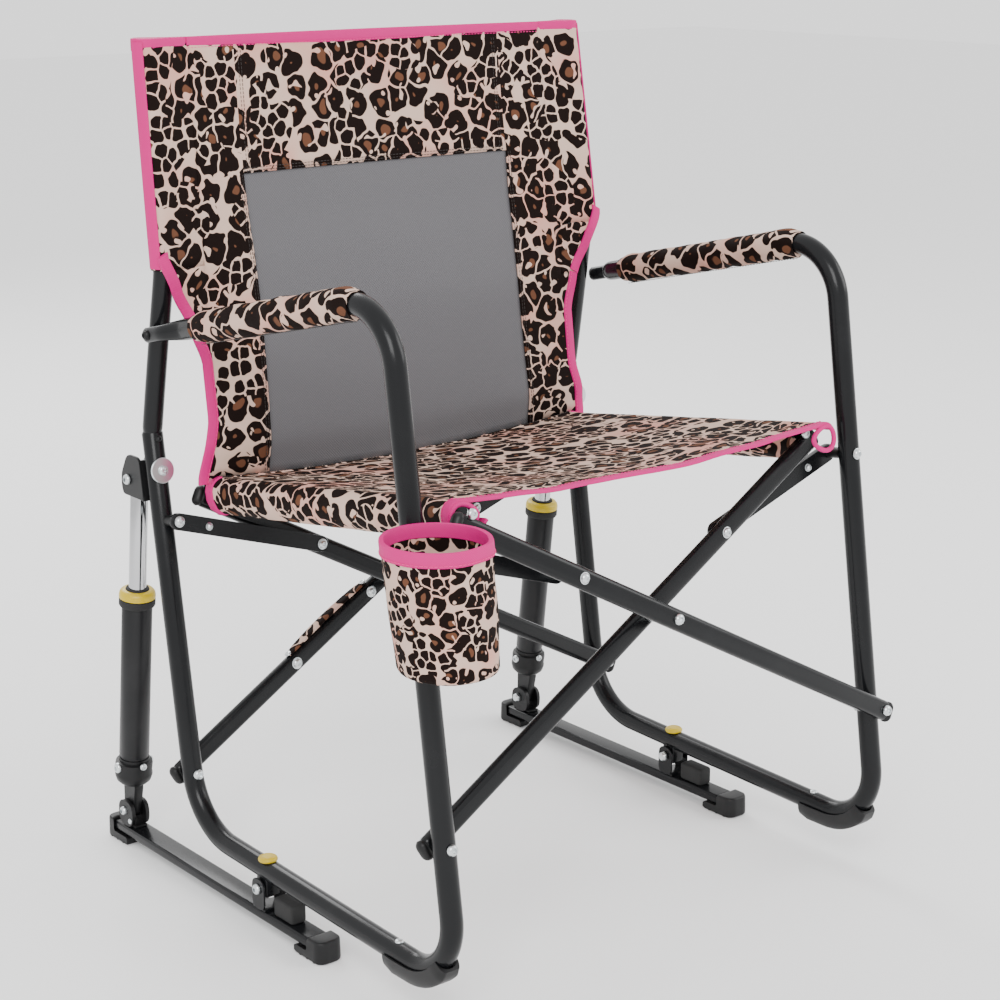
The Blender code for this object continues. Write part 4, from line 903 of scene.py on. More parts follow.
def make_stay_links():
    """Flat stays with full round ends, their rivets and the spacers they stand on."""
    for end, plane in PLANES.items():
        for name, side in SIDES:
            at_leg, at_bar = link_points(end, name, side)
            along = (at_bar - at_leg).normalized()
            length = (at_bar - at_leg).length
            half = 0.0090
            outline = []
            for centre_x, start in ((0.5 * length, -0.5), (-0.5 * length, 0.5)):
                for k in range(13):
                    angle = math.pi * (start + k / 12.0)
                    outline.append((centre_x + half * math.cos(angle), half * math.sin(angle)))
            work = bmesh.new()
            matrix = axis_matrix(0.5 * (at_leg + at_bar), LEG_NORMAL, along)
            plate(work, outline, LINK_THICK, matrix, 0.0016)
            finish_piece("%s_stay_%s" % (end, name), work, "tube", "links_" + name,
                         ["%s_link_%s" % (end, name)])
            layer = link_layers(end)[name]
            outward = LEG_NORMAL * math.copysign(1.0, layer)
            work = bmesh.new()
            leg_axis_point = fold_point(side * HALF_TRACK, plane, LINK_V)
            rivet_seat = 0.5 * LINK_THICK + 0.0001
            add_rivet(work, at_leg + outward * rivet_seat, outward)
            add_rivet(work, leg_axis_point - outward * (TUBE_R + 0.0004), -outward)
            finish_piece("%s_stay_rivets_%s" % (end, name), work, "zinc", "frame_" + name)
            work = bmesh.new()
            add_rivet(work, at_leg.lerp(at_bar, 0.20) - LEG_NORMAL * rivet_seat, -LEG_NORMAL,
                      0.0036)
            finish_piece("%s_stay_pin_%s" % (end, name), work, "zinc", "links_" + name)
            post = abs(layer) - 0.5 * LINK_THICK - TUBE_R
            if post > 0.004:
                turned_piece("%s_stay_spacer_%s" % (end, name), "plastic", "frame_" + name, (),
                             ([(0.0058, 0.0), (0.0058, post)], leg_axis_point + outward * TUBE_R,
                              outward, 24))
            bar_layer = -BAR_LAYER if side < 0 else BAR_LAYER
            bar = "x_frame_a" if side < 0 else "x_frame_b"
            toward = 1.0 if layer > bar_layer else -1.0
            face = bar_layer + toward * 0.5 * BAR_THICK
            stand = abs(layer - face) - 0.5 * LINK_THICK
            seat_point = at_bar + LEG_NORMAL * (face - layer)
            work = bmesh.new()
            add_rivet(work, seat_point - LEG_NORMAL * (toward * BAR_THICK), -LEG_NORMAL * toward)
            add_rivet(work, at_bar + LEG_NORMAL * (toward * rivet_seat), LEG_NORMAL * toward)
            if stand > 0.004:
                lathe(work, [(0.0050, 0.0), (0.0050, stand - 0.0006)], seat_point,
                      LEG_NORMAL * toward, 24)
            finish_piece("%s_stay_post_%s" % (end, name), work, "zinc", bar)


def rail_ends(side):
    u, v = rail_centre(side)
    layer = -BAR_LAYER if side < 0 else BAR_LAYER
    shy = 0.5 * BAR_THICK + GAP
    return (fold_point(u, FRONT_PLANE_S + layer + shy, v),
            fold_point(u, REAR_PLANE_S + layer - shy, v))


def make_seat_rails():
    for name, side in SIDES:
        front, rear = rail_ends(side)
        work = bmesh.new()
        sweep(work, [front.lerp(rear, k / 8.0) for k in range(9)], RAIL_R, 24, round_end=False)
        body = "x_frame_a" if side < 0 else "x_frame_b"
        finish_piece("sling_rail_" + name, work, "tube", body, ["seat_rail_" + name])
        work = bmesh.new()
        shy = BAR_THICK + GAP
        for point, out in ((front, -LEG_NORMAL), (rear, LEG_NORMAL)):
            tip = point + out * shy - bar_direction(side) * 0.003
            lathe(work, screw_profile(0.0052, 0.0030), tip, out, 24)
        finish_piece("rail_screws_" + name, work, "zinc", body)


# ---- rocking base --------------------------------------------------------------------------
def channel_piece(work, centre_y, length, inner, plate_thick, bottom, top, side):
    """U channel: two rounded ears and a web."""
    x_mid = side * HALF_TRACK
    ear = round_outline([(-0.5 * length, bottom), (0.5 * length, bottom), (0.5 * length, top),
                         (-0.5 * length, top)], 0.45 * length, 6)
    ear = [(y, max(z, bottom)) for y, z in ear]
    for sign in (-1.0, 1.0):
        plate(work, ear, plate_thick, side_plane(x_mid + sign * (inner + 0.5 * plate_thick),
                                                 centre_y), 0.0004)
    web = Matrix.Translation(lay(x_mid, centre_y, bottom + 0.00125))
    rounded_box(work, (2.0 * inner + 0.002, length, 0.0025), web, 0.0004, 2)


def make_base(name, side):
    body = "base_" + name
    work = bmesh.new()
    middle_z = BASE_TOP - 0.5 * BASE_BAR_HEIGHT
    start = side_point(side, BASE_FRONT_Y + BASE_FRONT_CAP + GAP, middle_z)
    end = side_point(side, BASE_REAR_Y - BASE_REAR_CAP - GAP, middle_z)
    matrix = axis_matrix(0.5 * (start + end), end - start, ACROSS)
    rounded_box(work, (0.0260, BASE_BAR_HEIGHT, (end - start).length), matrix, 0.0034, 5)
    finish_piece("ground_bar_" + name, work, "tube", body, ["base_bar_" + name])
    for label, y_end, sign, depth in (("front", BASE_FRONT_Y, 1.0, BASE_FRONT_CAP),
                                      ("rear", BASE_REAR_Y, -1.0, BASE_REAR_CAP)):
        work = bmesh.new()
        outline = [(y_end, 0.0), (y_end + sign * 0.0460, 0.0), (y_end + sign * 0.0460, CAP_SOLE),
                   (y_end + sign * depth, CAP_SOLE), (y_end + sign * depth, 0.0235),
                   (y_end + sign * 0.001, 0.0235)]
        outline = round_outline(outline, 0.0035, 4)
        matrix = side_plane(side * HALF_TRACK)
        rings = []
        for k in range(25):
            x = 0.0150 * math.sin(math.pi * (k / 24.0 - 0.5))
            over = max(0.0, abs(x) - 0.0050) / 0.0100
            pull = 0.0100 * (1.0 - math.sqrt(max(0.0, 1.0 - over * over)))
            shrink = 0.0016 * max(0.0, (abs(x) - 0.0134) / 0.0016) ** 2
            ring = []
            for y, z in outline:
                ahead = 1.0 - smooth_step(abs(y - y_end) / 0.024)
                y = y + sign * pull * ahead
                z = z - shrink if z > 0.012 else z + (shrink if z < 0.001 else 0.0)
                ring.append(matrix @ Vector((y, z, x)))
            rings.append(ring)
        add_rings(work, rings)
        for k in range(3):
            groove = side_point(side, y_end + sign * (0.012 + 0.012 * k), 0.0006)
            rounded_box(work, (0.0302, 0.0030, 0.0012), Matrix.Translation(groove), 0.0005, 1)
        finish_piece("ground_bar_%s_cap_%s" % (label, name), work, "plastic", body,
                     ["base_%s_cap_%s" % (label, name)])
    bottom = BASE_TOP + 0.0002
    work = bmesh.new()
    ear_thick = 0.0020
    channel_piece(work, ROCK_Y, 0.0220, TUBE_R + GAP, ear_thick, bottom, ROCK_Z + 0.0110, side)
    finish_piece("rocker_bracket_" + name, work, "tube", body, ["pivot_bracket_" + name])
    work = bmesh.new()
    outer = TUBE_R + 2.0 * GAP + ear_thick
    add_bolt(work, side_point(side, ROCK_Y, ROCK_Z, -outer), ACROSS * side, 2.0 * outer)
    finish_piece("rocker_bolt_" + name, work, "zinc", body, ["rock_bolt_" + name])
    work = bmesh.new()
    high = ground_rail_z(BUMPER_Y - 0.0020) - TUBE_R - 0.0085
    matrix = Matrix.Translation(side_point(side, BUMPER_Y, 0.5 * (bottom + high)))
    rounded_box(work, (0.0180, 0.0340, high - bottom), matrix, 0.0030, 4)
    finish_piece("rubber_stop_" + name, work, "rubber", body, ["bumper_" + name])
    work = bmesh.new()
    channel_piece(work, STRUT_FOOT_Y - 0.002, 0.0300, 0.0065, 0.0045, bottom,
                  STRUT_FOOT_Z + 0.0120, side)
    finish_piece("strut_shoe_" + name, work, "plastic", body, ["strut_bracket_" + name])
    work = bmesh.new()
    half = 0.0112
    add_bolt(work, side_point(side, STRUT_FOOT_Y, STRUT_FOOT_Z, -half), ACROSS * side,
             2.0 * half, 0.0050)
    lathe(work, screw_profile(0.0032, 0.0016),
          side_point(side, STRUT_FOOT_Y - 0.0115, 0.0290, 0.0110), ACROSS * side, 18)
    finish_piece("strut_foot_bolt_" + name, work, "zinc", body)


# ---- struts --------------------------------------------------------------------------------
def make_strut(name, side):
    foot = side_point(side, STRUT_FOOT_Y, STRUT_FOOT_Z)
    along = STRUT_AXIS
    low = 0.0660
    high = low + 0.1880
    bore = 0.0150
    rod_low = high - 0.0450
    rod_high = STRUT_LENGTH + 0.0110
    piston = [(0.0, rod_low), (0.0085, rod_low), (0.0095, rod_low + 0.001),
              (0.0095, rod_high - 0.003), (0.0080, rod_high), (0.0, rod_high)]
    turned_piece("strut_piston_" + name, "chrome", "rod_" + name, ["strut_rod_" + name],
                 (piston, foot, along, 36))
    barrel = [(bore, high), (0.0157, high), (0.0165, high - 0.001), (0.0165, low + 0.004),
              (0.0158, low + 0.0025), (0.0158, low), (0.0, low), (0.0, low + 0.004),
              (bore, low + 0.004)]
    turned_piece("strut_sleeve_" + name, "cylinder", "cylinder_" + name,
                 ["strut_cylinder_" + name], (barrel, foot, along, 40))
    base = high + GAP
    collar = [(0.0102, base + 0.012), (0.0150, base + 0.012), (0.0172, base + 0.0112),
              (0.0190, base + 0.0092), (0.0198, base + 0.0062), (0.0198, base + 0.0030),
              (0.0186, base + 0.0022), (0.0102, base + 0.0020)]
    turned_piece("strut_cap_ring_" + name, "yellow", "cylinder_" + name,
                 ["strut_collar_" + name], (collar, foot, along, 40))
    lip = [(0.0166, base + 0.0018), (0.0192, base + 0.0018), (0.0197, base + 0.0008),
           (0.0197, base - 0.0050), (0.0186, base - 0.0068), (0.0167, base - 0.0072)]
    wiper = [(0.0100, base + 0.0135), (0.0122, base + 0.0135), (0.0128, base + 0.0120),
             (0.0100, base + 0.0118)]
    turned_piece("strut_lip_" + name, "rubber", "cylinder_" + name, (),
                 (lip, foot, along, 40), (wiper, foot, along, 32))
    make_coil(name, foot, along, low + 0.0065, rod_low - 0.0023, bore - 0.0028)
    make_knuckle(name, side, foot, along, low - GAP)


def make_coil(name, foot, along, low, high, radius):
    """Coil spring inside the cylinder, with its end turns closed up."""
    forward = along.cross(ACROSS)
    turns, per_turn = 8, 16
    points = []
    for k in range(turns * per_turn + 1):
        angle = 2.0 * math.pi * k / per_turn
        height = mix(low, high, smooth_step(k / (turns * per_turn)) * 0.35
                     + 0.65 * k / (turns * per_turn))
        points.append(foot + along * height + ACROSS * (radius * math.cos(angle))
                      + forward * (radius * math.sin(angle)))
    work = bmesh.new()
    sweep(work, points, 0.0018, 8)
    finish_piece("strut_coil_" + name, work, "zinc", "cylinder_" + name, ["strut_spring_" + name])


def make_knuckle(name, side, foot, along, top):
    work = bmesh.new()
    lathe(work, [(0.0, top), (0.0168, top), (0.0168, top - 0.004), (0.0200, top - 0.005),
                 (0.0206, top - 0.008), (0.0200, 0.0480), (0.0206, 0.0465), (0.0206, 0.0440),
                 (0.0190, 0.0385), (0.0150, 0.0345), (0.0, 0.0340)], foot, along, 36)
    eye = []
    for k in range(13):
        angle = math.pi * (1.0 + k / 12.0)
        eye.append((0.0095 * math.cos(angle), 0.0095 * math.sin(angle)))
    eye += [(0.0120, 0.030), (0.0120, 0.042), (-0.0120, 0.042), (-0.0120, 0.030)]
    forward = along.cross(ACROSS)
    matrix = Matrix((forward, along, forward.cross(along))).transposed().to_4x4()
    matrix.translation = foot
    plate(work, eye, 0.0110, matrix, 0.0008)
    finish_piece("strut_joint_" + name, work, "plastic", "cylinder_" + name,
                 ["strut_knuckle_" + name])
    out = ACROSS * side
    front = -forward if forward.y > 0 else forward
    level = foot + along * 0.0555
    turned_piece("strut_joint_bolts_" + name, "zinc", "cylinder_" + name, (),
                 (screw_profile(0.0058, 0.0034), level + out * 0.0200, out, 24),
                 (screw_profile(0.0048, 0.0030), level - out * 0.0200, -out, 24),
                 (screw_profile(0.0040, 0.0026), foot + along * 0.0600 + front * 0.0196, front,
                  24))


def make_strut_head(name, side):
    """Cast bracket behind the rear leg that holds the top of the strut."""
    offset = (TUBE_R + GAP) / math.cos(LEG_LEAN)
    z_low, z_high = STRUT_TOP_Z - 0.0180, STRUT_TOP_Z + 0.0270
    rear = STRUT_TOP_Y + 0.0150
    outline = round_outline([(leg_y(REAR_PLANE_S, z_low) + offset, z_low), (rear - 0.003, z_low),
                             (rear, z_low + 0.008), (rear, STRUT_TOP_Z + 0.004),
                             (rear - 0.013, z_high),
                             (leg_y(REAR_PLANE_S, z_high) + offset, z_high)], 0.007, 5)
    work = bmesh.new()
    for sign in (-1.0, 1.0):
        plate(work, outline, 0.0032, side_plane(side * HALF_TRACK + sign * 0.0118), 0.0005)
    low = rear_leg_point(side, z_low + 0.003)
    high = rear_leg_point(side, z_high - 0.003)
    matrix = axis_matrix(0.5 * (low + high) + LEG_NORMAL * (TUBE_R + GAP + 0.0028), high - low,
                         ACROSS)
    rounded_box(work, (0.0262, 0.0052, (high - low).length + 0.004), matrix, 0.0016, 3)
    finish_piece("strut_head_" + name, work, "plastic", "frame_" + name,
                 ["strut_top_bracket_" + name])
    work = bmesh.new()
    half = 0.0143
    add_bolt(work, side_point(side, STRUT_TOP_Y, STRUT_TOP_Z, -half), ACROSS * side, 2.0 * half)
    finish_piece("strut_head_bolt_" + name, work, "zinc", "frame_" + name,
                 ["strut_top_bolt_" + name])
    centre = rear_leg_point(side, STRUT_TOP_Z + 0.0150)
    facing = -LEG_NORMAL
    disc = [(0.0, 0.0), (0.0128, 0.0), (0.0134, 0.0005), (0.0134, 0.0016), (0.0128, 0.0022),
            (0.0080, 0.0022), (0.0, 0.0022)]
    turned_piece("strut_head_washer_" + name, "zinc", "frame_" + name, (),
                 (disc, centre + facing * (TUBE_R + 0.0001), facing, 40),
                 (screw_profile(0.0054, 0.0034), centre + facing * (TUBE_R + 0.0022), facing, 28))


def rear_leg_point(side, z):
    """A point on the rear leg's middle line."""
    return side_point(side, leg_y(REAR_PLANE_S, z), z)


def make_frame_screws(name, side):
    """Small bolts at the armrest end and along the back of the leg."""
    work = bmesh.new()
    y = arm_end_y() - 0.0130
    add_rivet(work, side_point(side, y, arm_z(y), UPRIGHT_R + GAP + 0.0098), ACROSS * side, 0.0050)
    joint = rear_leg_point(side, LEG_TOP_Z - 0.0055)
    add_rivet(work, joint - LEG_NORMAL * TUBE_R, -LEG_NORMAL, 0.0032)
    finish_piece("frame_rivets_" + name, work, "plastic", "frame_" + name)


# ---- cloth helpers -------------------------------------------------------------------------
CLOTH = 0.0016


def thicken(piece, thickness=CLOTH, offset=0.0):
    """Gives a sheet its thickness, and keeps the result as its mesh."""
    solidify = piece.modifiers.new("thickness", "SOLIDIFY")
    solidify.thickness = thickness
    solidify.offset = offset
    graph = bpy.context.evaluated_depsgraph_get()
    mesh = bpy.data.meshes.new_from_object(piece.evaluated_get(graph))
    piece.modifiers.clear()
    piece.data = mesh
    return piece


def ripple(x, y, z, size, scale):
    return size * noise.noise(Vector((x * scale, y * scale, z * scale)))


def tape(work, points, inwards, normals, width, thick, edge=0.0012, closed=False):
    """Folded binding tape along an edge: each ring wraps width of the cloth from the edge."""
    rings = []
    for point, inward, normal in zip(points, inwards, normals):
        inward = inward.normalized()
        normal = normal.normalized()
        ring = []
        for along, high in ((-edge, 0.0), (-0.6 * edge, 0.42), (0.4 * edge, 0.5),
                            (0.5 * width, 0.5), (width - 0.0006, 0.46), (width, 0.30),
                            (width, -0.30), (width - 0.0006, -0.46), (0.5 * width, -0.5),
                            (0.4 * edge, -0.5), (-0.6 * edge, -0.42)):
            ring.append(point + inward * along + normal * (high * thick))
        rings.append(ring)
    if closed:
        rings.append(rings[0])
    add_rings(work, rings, caps=not closed)


def add_stitches(work, points, normals, pitch=0.0042, length=0.0028, radius=0.00035, lift=0.0003):
    """Short raised stitches along a line on the cloth."""
    total = 0.0
    marks = [0.0]
    for first, second in zip(points, points[1:]):
        total += (second - first).length
        marks.append(total)
    count = int(total / pitch)
    index = 0
    for k in range(count):
        centre = (k + 0.5) * pitch
        while index < len(marks) - 2 and marks[index + 1] < centre:
            index += 1
        span = max(marks[index + 1] - marks[index], 1e-6)
        t = (centre - marks[index]) / span
        place = points[index].lerp(points[index + 1], t)
        along = (points[index + 1] - points[index]).normalized()
        normal = normals[index].normalized()
        ends = [place + along * (length * f) + normal * (lift * h)
                for f, h in ((-0.5, -0.6), (-0.3, 0.8), (0.3, 0.8), (0.5, -0.6))]
        sweep(work, ends, radius, 5)


def tape_piece(name, points, inwards, normals, width, thick, body=None, finish="pink", **more):
    work = bmesh.new()
    tape(work, points, inwards, normals, width, thick, **more)
    return finish_piece(name, work, finish, body, smooth=50.0)


def stitch_piece(name, rows, finish="thread", body=None):
    """One piece of stitching along rows of (points, normals)."""
    work = bmesh.new()
    for points, normals in rows:
        add_stitches(work, points, normals)
    return finish_piece(name, work, finish, body)


# ---- seat sling ----------------------------------------------------------------------------
SEAT_FRONT_S = FRONT_PLANE_S - BAR_LAYER + 0.5 * BAR_THICK + 0.0015
SEAT_REAR_S = 0.3235
SLEEVE_R = RAIL_R + 0.0018


def seat_edge(s, left_side):
    """The sleeve round one rail at s, from its loose edge to the rail's top, on the -u side."""
    u_rail, v_rail = rail_centre(1.0)
    loop = []
    deep = smooth_step((s - SEAT_FRONT_S - 0.042) / 0.012) if left_side else 1.0
    flap = [(0.030, -0.0120), (0.019, -0.0215), (0.008, -0.0270), (-0.002, -0.0265),
            (-0.0090, -0.0200), (-0.0125, -0.0110), (-0.0128, -0.0020)]
    short = [(0.0105, 0.0060), (0.0070, 0.0062), (0.0030, 0.0064), (-0.0020, 0.0060),
             (-0.0062, 0.0056), (-0.0085, 0.0048), (-0.0094, 0.0042)]
    for (far_u, far_v), (near_u, near_v) in zip(flap, short):
        loop.append((-u_rail + mix(near_u, far_u, deep), v_rail + mix(near_v, far_v, deep)))
    for k in range(7):
        angle = math.radians(160.0 - 70.0 * k / 6.0)
        wide = 1.0 + 0.25 * deep * (1.0 - k / 6.0)
        loop.append((-u_rail + SLEEVE_R * wide * math.cos(angle),
                     v_rail + SLEEVE_R * math.sin(angle)))
    return loop


def seat_section(s):
    """Points (u, v) of the seat cloth right across the chair at s."""
    u_rail, v_rail = rail_centre(1.0)
    share = (s - SEAT_FRONT_S) / (SEAT_REAR_S - SEAT_FRONT_S)
    sag = 0.0075 + 0.0050 * math.sin(math.pi * min(1.0, share * 1.15))
    top = v_rail + SLEEVE_R
    half = u_rail
    count = 44
    middle = []
    for k in range(1, count):
        u = mix(-half, half, k / count)
        t = u / half
        drop = sag * (1.0 - t * t) + 0.0030 * (1.0 - abs(t)) ** 0.5
        wave = ripple(u, s, 0.3, 0.0022, 13.0) * (1.0 - t ** 6)
        middle.append((u, top - drop + wave))
    mirrored = [(-u, v) for u, v in seat_edge(s, True)]
    return seat_edge(s, False) + middle + mirrored[::-1]


def make_seat():
    rows = 34
    rings, places = [], []
    for r in range(rows + 1):
        s = mix(SEAT_FRONT_S, SEAT_REAR_S, r / rows)
        section = seat_section(s)
        rings.append([fold_point(u, s, v + ripple(u, s, 2.0, 0.0006, 30.0)) for u, v in section])
        marks = [0.0]
        for first, second in zip(section, section[1:]):
            marks.append(marks[-1] + math.dist(first, second))
        marks.append(marks[-1])
        shift = 0.5 * marks[-1]
        places.append([(m - shift, s) for m in marks])
    work = bmesh.new()
    add_rings(work, rings, closed_around=False, places=places)
    seat = finish_piece("seat_sling", work, "print", replaced=["seat_panel"], smooth=60.0)
    thicken(seat)
    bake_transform(seat)
    make_seat_hems()


def section_normals(section):
    normals = []
    for k in range(len(section)):
        a = section[max(0, k - 1)]
        b = section[min(len(section) - 1, k + 1)]
        du, dv = b[0] - a[0], b[1] - a[1]
        normals.append((-dv, du))
    return normals


def make_seat_hems():
    """Pink tape along the front edge, a turned hem at the rear, and their stitching."""
    for label, s, inward, finish, wide in (("front", SEAT_FRONT_S, LEG_NORMAL, "pink", 0.0110),
                                           ("rear", SEAT_REAR_S, -LEG_NORMAL, "print", 0.0100)):
        section = seat_section(s)
        points = [fold_point(u, s, v + ripple(u, s, 2.0, 0.0006, 30.0)) for u, v in section]
        normals = [ACROSS * n[0] + LEG_UP * n[1] for n in section_normals(section)]
        hem = tape_piece("seat_%s_binding" % label, points, [inward] * len(points), normals, wide,
                         CLOTH + 0.0020, finish=finish)
        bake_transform(hem)
        row = [p + inward * (wide - 0.0018) + n.normalized() * (0.5 * (CLOTH + 0.0020))
               for p, n in zip(points, normals)]
        thread = stitch_piece("seat_%s_stitches" % label, [(row, normals)],
                              "thread" if finish == "pink" else "dark_thread")
        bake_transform(thread)
    section = seat_section(SEAT_REAR_S)
    corner = len(seat_edge(SEAT_REAR_S, False))
    for name, side in SIDES:
        u, v = rail_centre(side)
        body = "x_frame_a" if side < 0 else "x_frame_b"
        around = slice(0, corner) if side < 0 else slice(-corner, None)
        points = [fold_point(a, SEAT_REAR_S, b) for a, b in section[around]]
        normals = [ACROSS * n[0] + LEG_UP * n[1] for n in section_normals(section)[around]]
        tape_piece("seat_rear_corner_" + name, points, [-LEG_NORMAL] * corner, normals, 0.0112,
                   CLOTH + 0.0034, body, edge=0.0022)
        work = bmesh.new()
        points = []
        for k in range(29):
            angle = 2.0 * math.pi * k / 28.0
            wide = 0.0105 + 0.0085 * (0.5 + 0.5 * math.cos(angle))
            points.append((u - side * 0.004 + side * 0.0150 * math.cos(angle),
                           v - 0.0055 + wide * 0.82 * math.sin(angle)))
        rim = [fold_point(a, SEAT_FRONT_S - 0.0002, b) for a, b in points]
        sweep(work, rim, 0.0026, 10)
        finish_piece("seat_corner_loop_" + name, work, "pink", body)


# ---- back ----------------------------------------------------------------------------------
SEAM_HALF = HALF_TRACK - 0.045       # sleeves are rigid outside this line
WAIST_LOW_Z = 0.4260
SEAT_LINE_Z = 0.4300
SLEEVE_CUT_Z = 0.6000
SLEEVE_FULL_Z = 0.6680
SLEEVE_JOIN_Z = SLEEVE_FULL_Z - 0.010
SLEEVE_PULL = 0.0085                 # how far the lower sleeve is drawn forward at its edge
PANEL_SHIFT = (0.37, 0.19)           # the print doesn't run on across the side seams
BACK_TOP_Z = BACK_TOP[1] + 0.0050
WINDOW_TOP_Z = 0.7450
WINDOW_HALF = 0.1790
PANEL_SEAM_HALF = 0.1720
WAIST = ((0.4260, 0.2630), (0.4500, 0.2590), (0.5000, 0.2490), (0.5600, 0.2500),
         (0.6000, 0.2640), (0.6350, 0.2830), (0.6680, 0.2980))   # height, half width


def table(points, z):
    """Smooth value between (z, value) points."""
    if z <= points[0][0]:
        return points[0][1]
    for (z0, a), (z1, b) in zip(points, points[1:]):
        if z <= z1:
            return mix(a, b, smooth_step((z - z0) / (z1 - z0)) * 0.35
                       + 0.65 * (z - z0) / (z1 - z0))
    return points[-1][1]


def back_face_y(z):
    """Depth of the back cloth at the sleeve seams."""
    if z >= LUMBAR[1]:
        return upright_y(z) - 0.0040
    lumbar_y = LUMBAR[0] - 0.0040
    tuck = 0.0075 * (1.0 - smooth_step((z - WAIST_LOW_Z) / 0.045))
    share = (z - SEAT_LINE_Z) / (LUMBAR[1] - SEAT_LINE_Z)
    return tuck + mix(0.3815, lumbar_y, 0.4 * smooth_step(share) + 0.6 * max(0.0, share))


def back_sag(z):
    return table(((0.43, -0.003), (0.60, -0.001), (0.70, 0.014), (0.80, 0.015), (0.885, 0.008)), z)


def back_point(x, z):
    """A point of the middle back cloth; x is the layout distance from the middle."""
    t = min(1.0, abs(x) / SEAM_HALF)
    y = back_face_y(z) + back_sag(z) * (1.0 - t * t)
    y += ripple(x, 4.0, z, 0.0022, 8.0) * (1.0 - t ** 4)
    squeeze = 1.0 - (upright_lean(z) / SEAM_HALF) * t
    lift = 0.0125 * t * t * (1.0 - smooth_step((z - WAIST_LOW_Z) / 0.09))
    return lay(x * squeeze, y, z + lift)


def window_half(z):
    share = (z - SEAT_LINE_Z) / (WINDOW_TOP_Z - SEAT_LINE_Z)
    return WINDOW_HALF - 0.004 * math.sin(math.pi * min(1.0, max(0.0, share)))


def row_heights():
    low = [mix(WAIST_LOW_Z, WINDOW_TOP_Z, k / 26.0) for k in range(27)]
    high = [mix(WINDOW_TOP_Z, BACK_TOP_Z, k / 13.0) for k in range(1, 14)]
    return low + high


def squash_back(piece):
    """Puts a piece of the middle back on the right frame, with a mesh of its own."""
    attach(piece, "frame_right")
    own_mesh(piece)


def make_back_middle():
    work = bmesh.new()
    layer = work.loops.layers.uv.new("cloth")
    side_columns, window_columns = 8, 22

    def row_xs(z):
        edge = table(WAIST, z) if z <= SLEEVE_CUT_Z + 1e-6 else SEAM_HALF
        half = window_half(min(z, WINDOW_TOP_Z))
        left = [mix(-edge, -half, k / side_columns) for k in range(side_columns + 1)]
        middle = [mix(-half, half, k / window_columns) for k in range(1, window_columns)]
        return left + middle + [-x for x in left[::-1]]

    heights = row_heights()
    cut = min(heights, key=lambda z: abs(z - SLEEVE_CUT_Z))
    heights[heights.index(cut)] = SLEEVE_CUT_Z
    heights.insert(heights.index(SLEEVE_CUT_Z) + 1, SLEEVE_CUT_Z + 0.0002)
    grid = []
    for z in heights:
        grid.append([(x, z, work.verts.new(back_point(x, z))) for x in row_xs(z)])
    for r in range(len(grid) - 1):
        for c in range(len(grid[0]) - 1):
            in_window = side_columns <= c < side_columns + window_columns
            if in_window and heights[r + 1] <= WINDOW_TOP_Z + 1e-6:
                continue
            cells = (grid[r][c], grid[r][c + 1], grid[r + 1][c + 1], grid[r + 1][c])
            face = work.faces.new([cell[2] for cell in cells])
            shift = (0.0, 0.0) if in_window else PANEL_SHIFT
            for loop, cell in zip(face.loops, cells):
                loop[layer].uv = (cell[0] + shift[0], cell[1] + shift[1])
    for vert in [v for v in work.verts if not v.link_faces]:
        work.verts.remove(vert)
    panel = finish_piece("back_cloth", work, "print", replaced=["back_panel"], smooth=60.0)
    thicken(panel)
    squash_back(panel)
    make_back_window()


def make_back_window():
    work = bmesh.new()
    rows, columns = 30, 26
    rings, places = [], []
    for r in range(rows + 1):
        z = mix(WAIST_LOW_Z, WINDOW_TOP_Z + 0.006, r / rows)
        half = window_half(min(z, WINDOW_TOP_Z)) + 0.006
        xs = [mix(-half, half, c / columns) for c in range(columns + 1)]
        rings.append([back_point(x, z) + Vector((0.0, 0.0015, 0.0)) for x in xs])
        places.append([(x, z) for x in xs] + [(half, z)])
    add_rings(work, rings, closed_around=False, places=places)
    window = finish_piece("back_mesh", work, "mesh", replaced=["back_window"], smooth=60.0)
    thicken(window, 0.0010)
    squash_back(window)
    forward = Vector((0.0, -1.0, 0.0))
    lines = []
    for side in (-1.0, 1.0):
        heights = [mix(WAIST_LOW_Z, WINDOW_TOP_Z, k / 30.0) for k in range(31)]
        for inset in (0.0022, 0.0052):
            lines.append([back_point(side * (window_half(z) + inset), z) for z in heights])
        heights = [mix(WINDOW_TOP_Z, BACK_TOP_Z - 0.013, k / 12.0) for k in range(13)]
        for shift in (-0.0016, 0.0016):
            lines.append([back_point(side * PANEL_SEAM_HALF, z) + ACROSS * shift
                          for z in heights])
    for inset in (0.0022, 0.0052):
        lines.append([back_point(mix(-WINDOW_HALF, WINDOW_HALF, k / 30.0), WINDOW_TOP_Z + inset)
                      for k in range(31)])
    rows = [([p + forward * (0.5 * CLOTH) for p in line], [forward] * len(line))
            for line in lines]
    squash_back(stitch_piece("back_seam_stitches", rows, "dark_thread"))


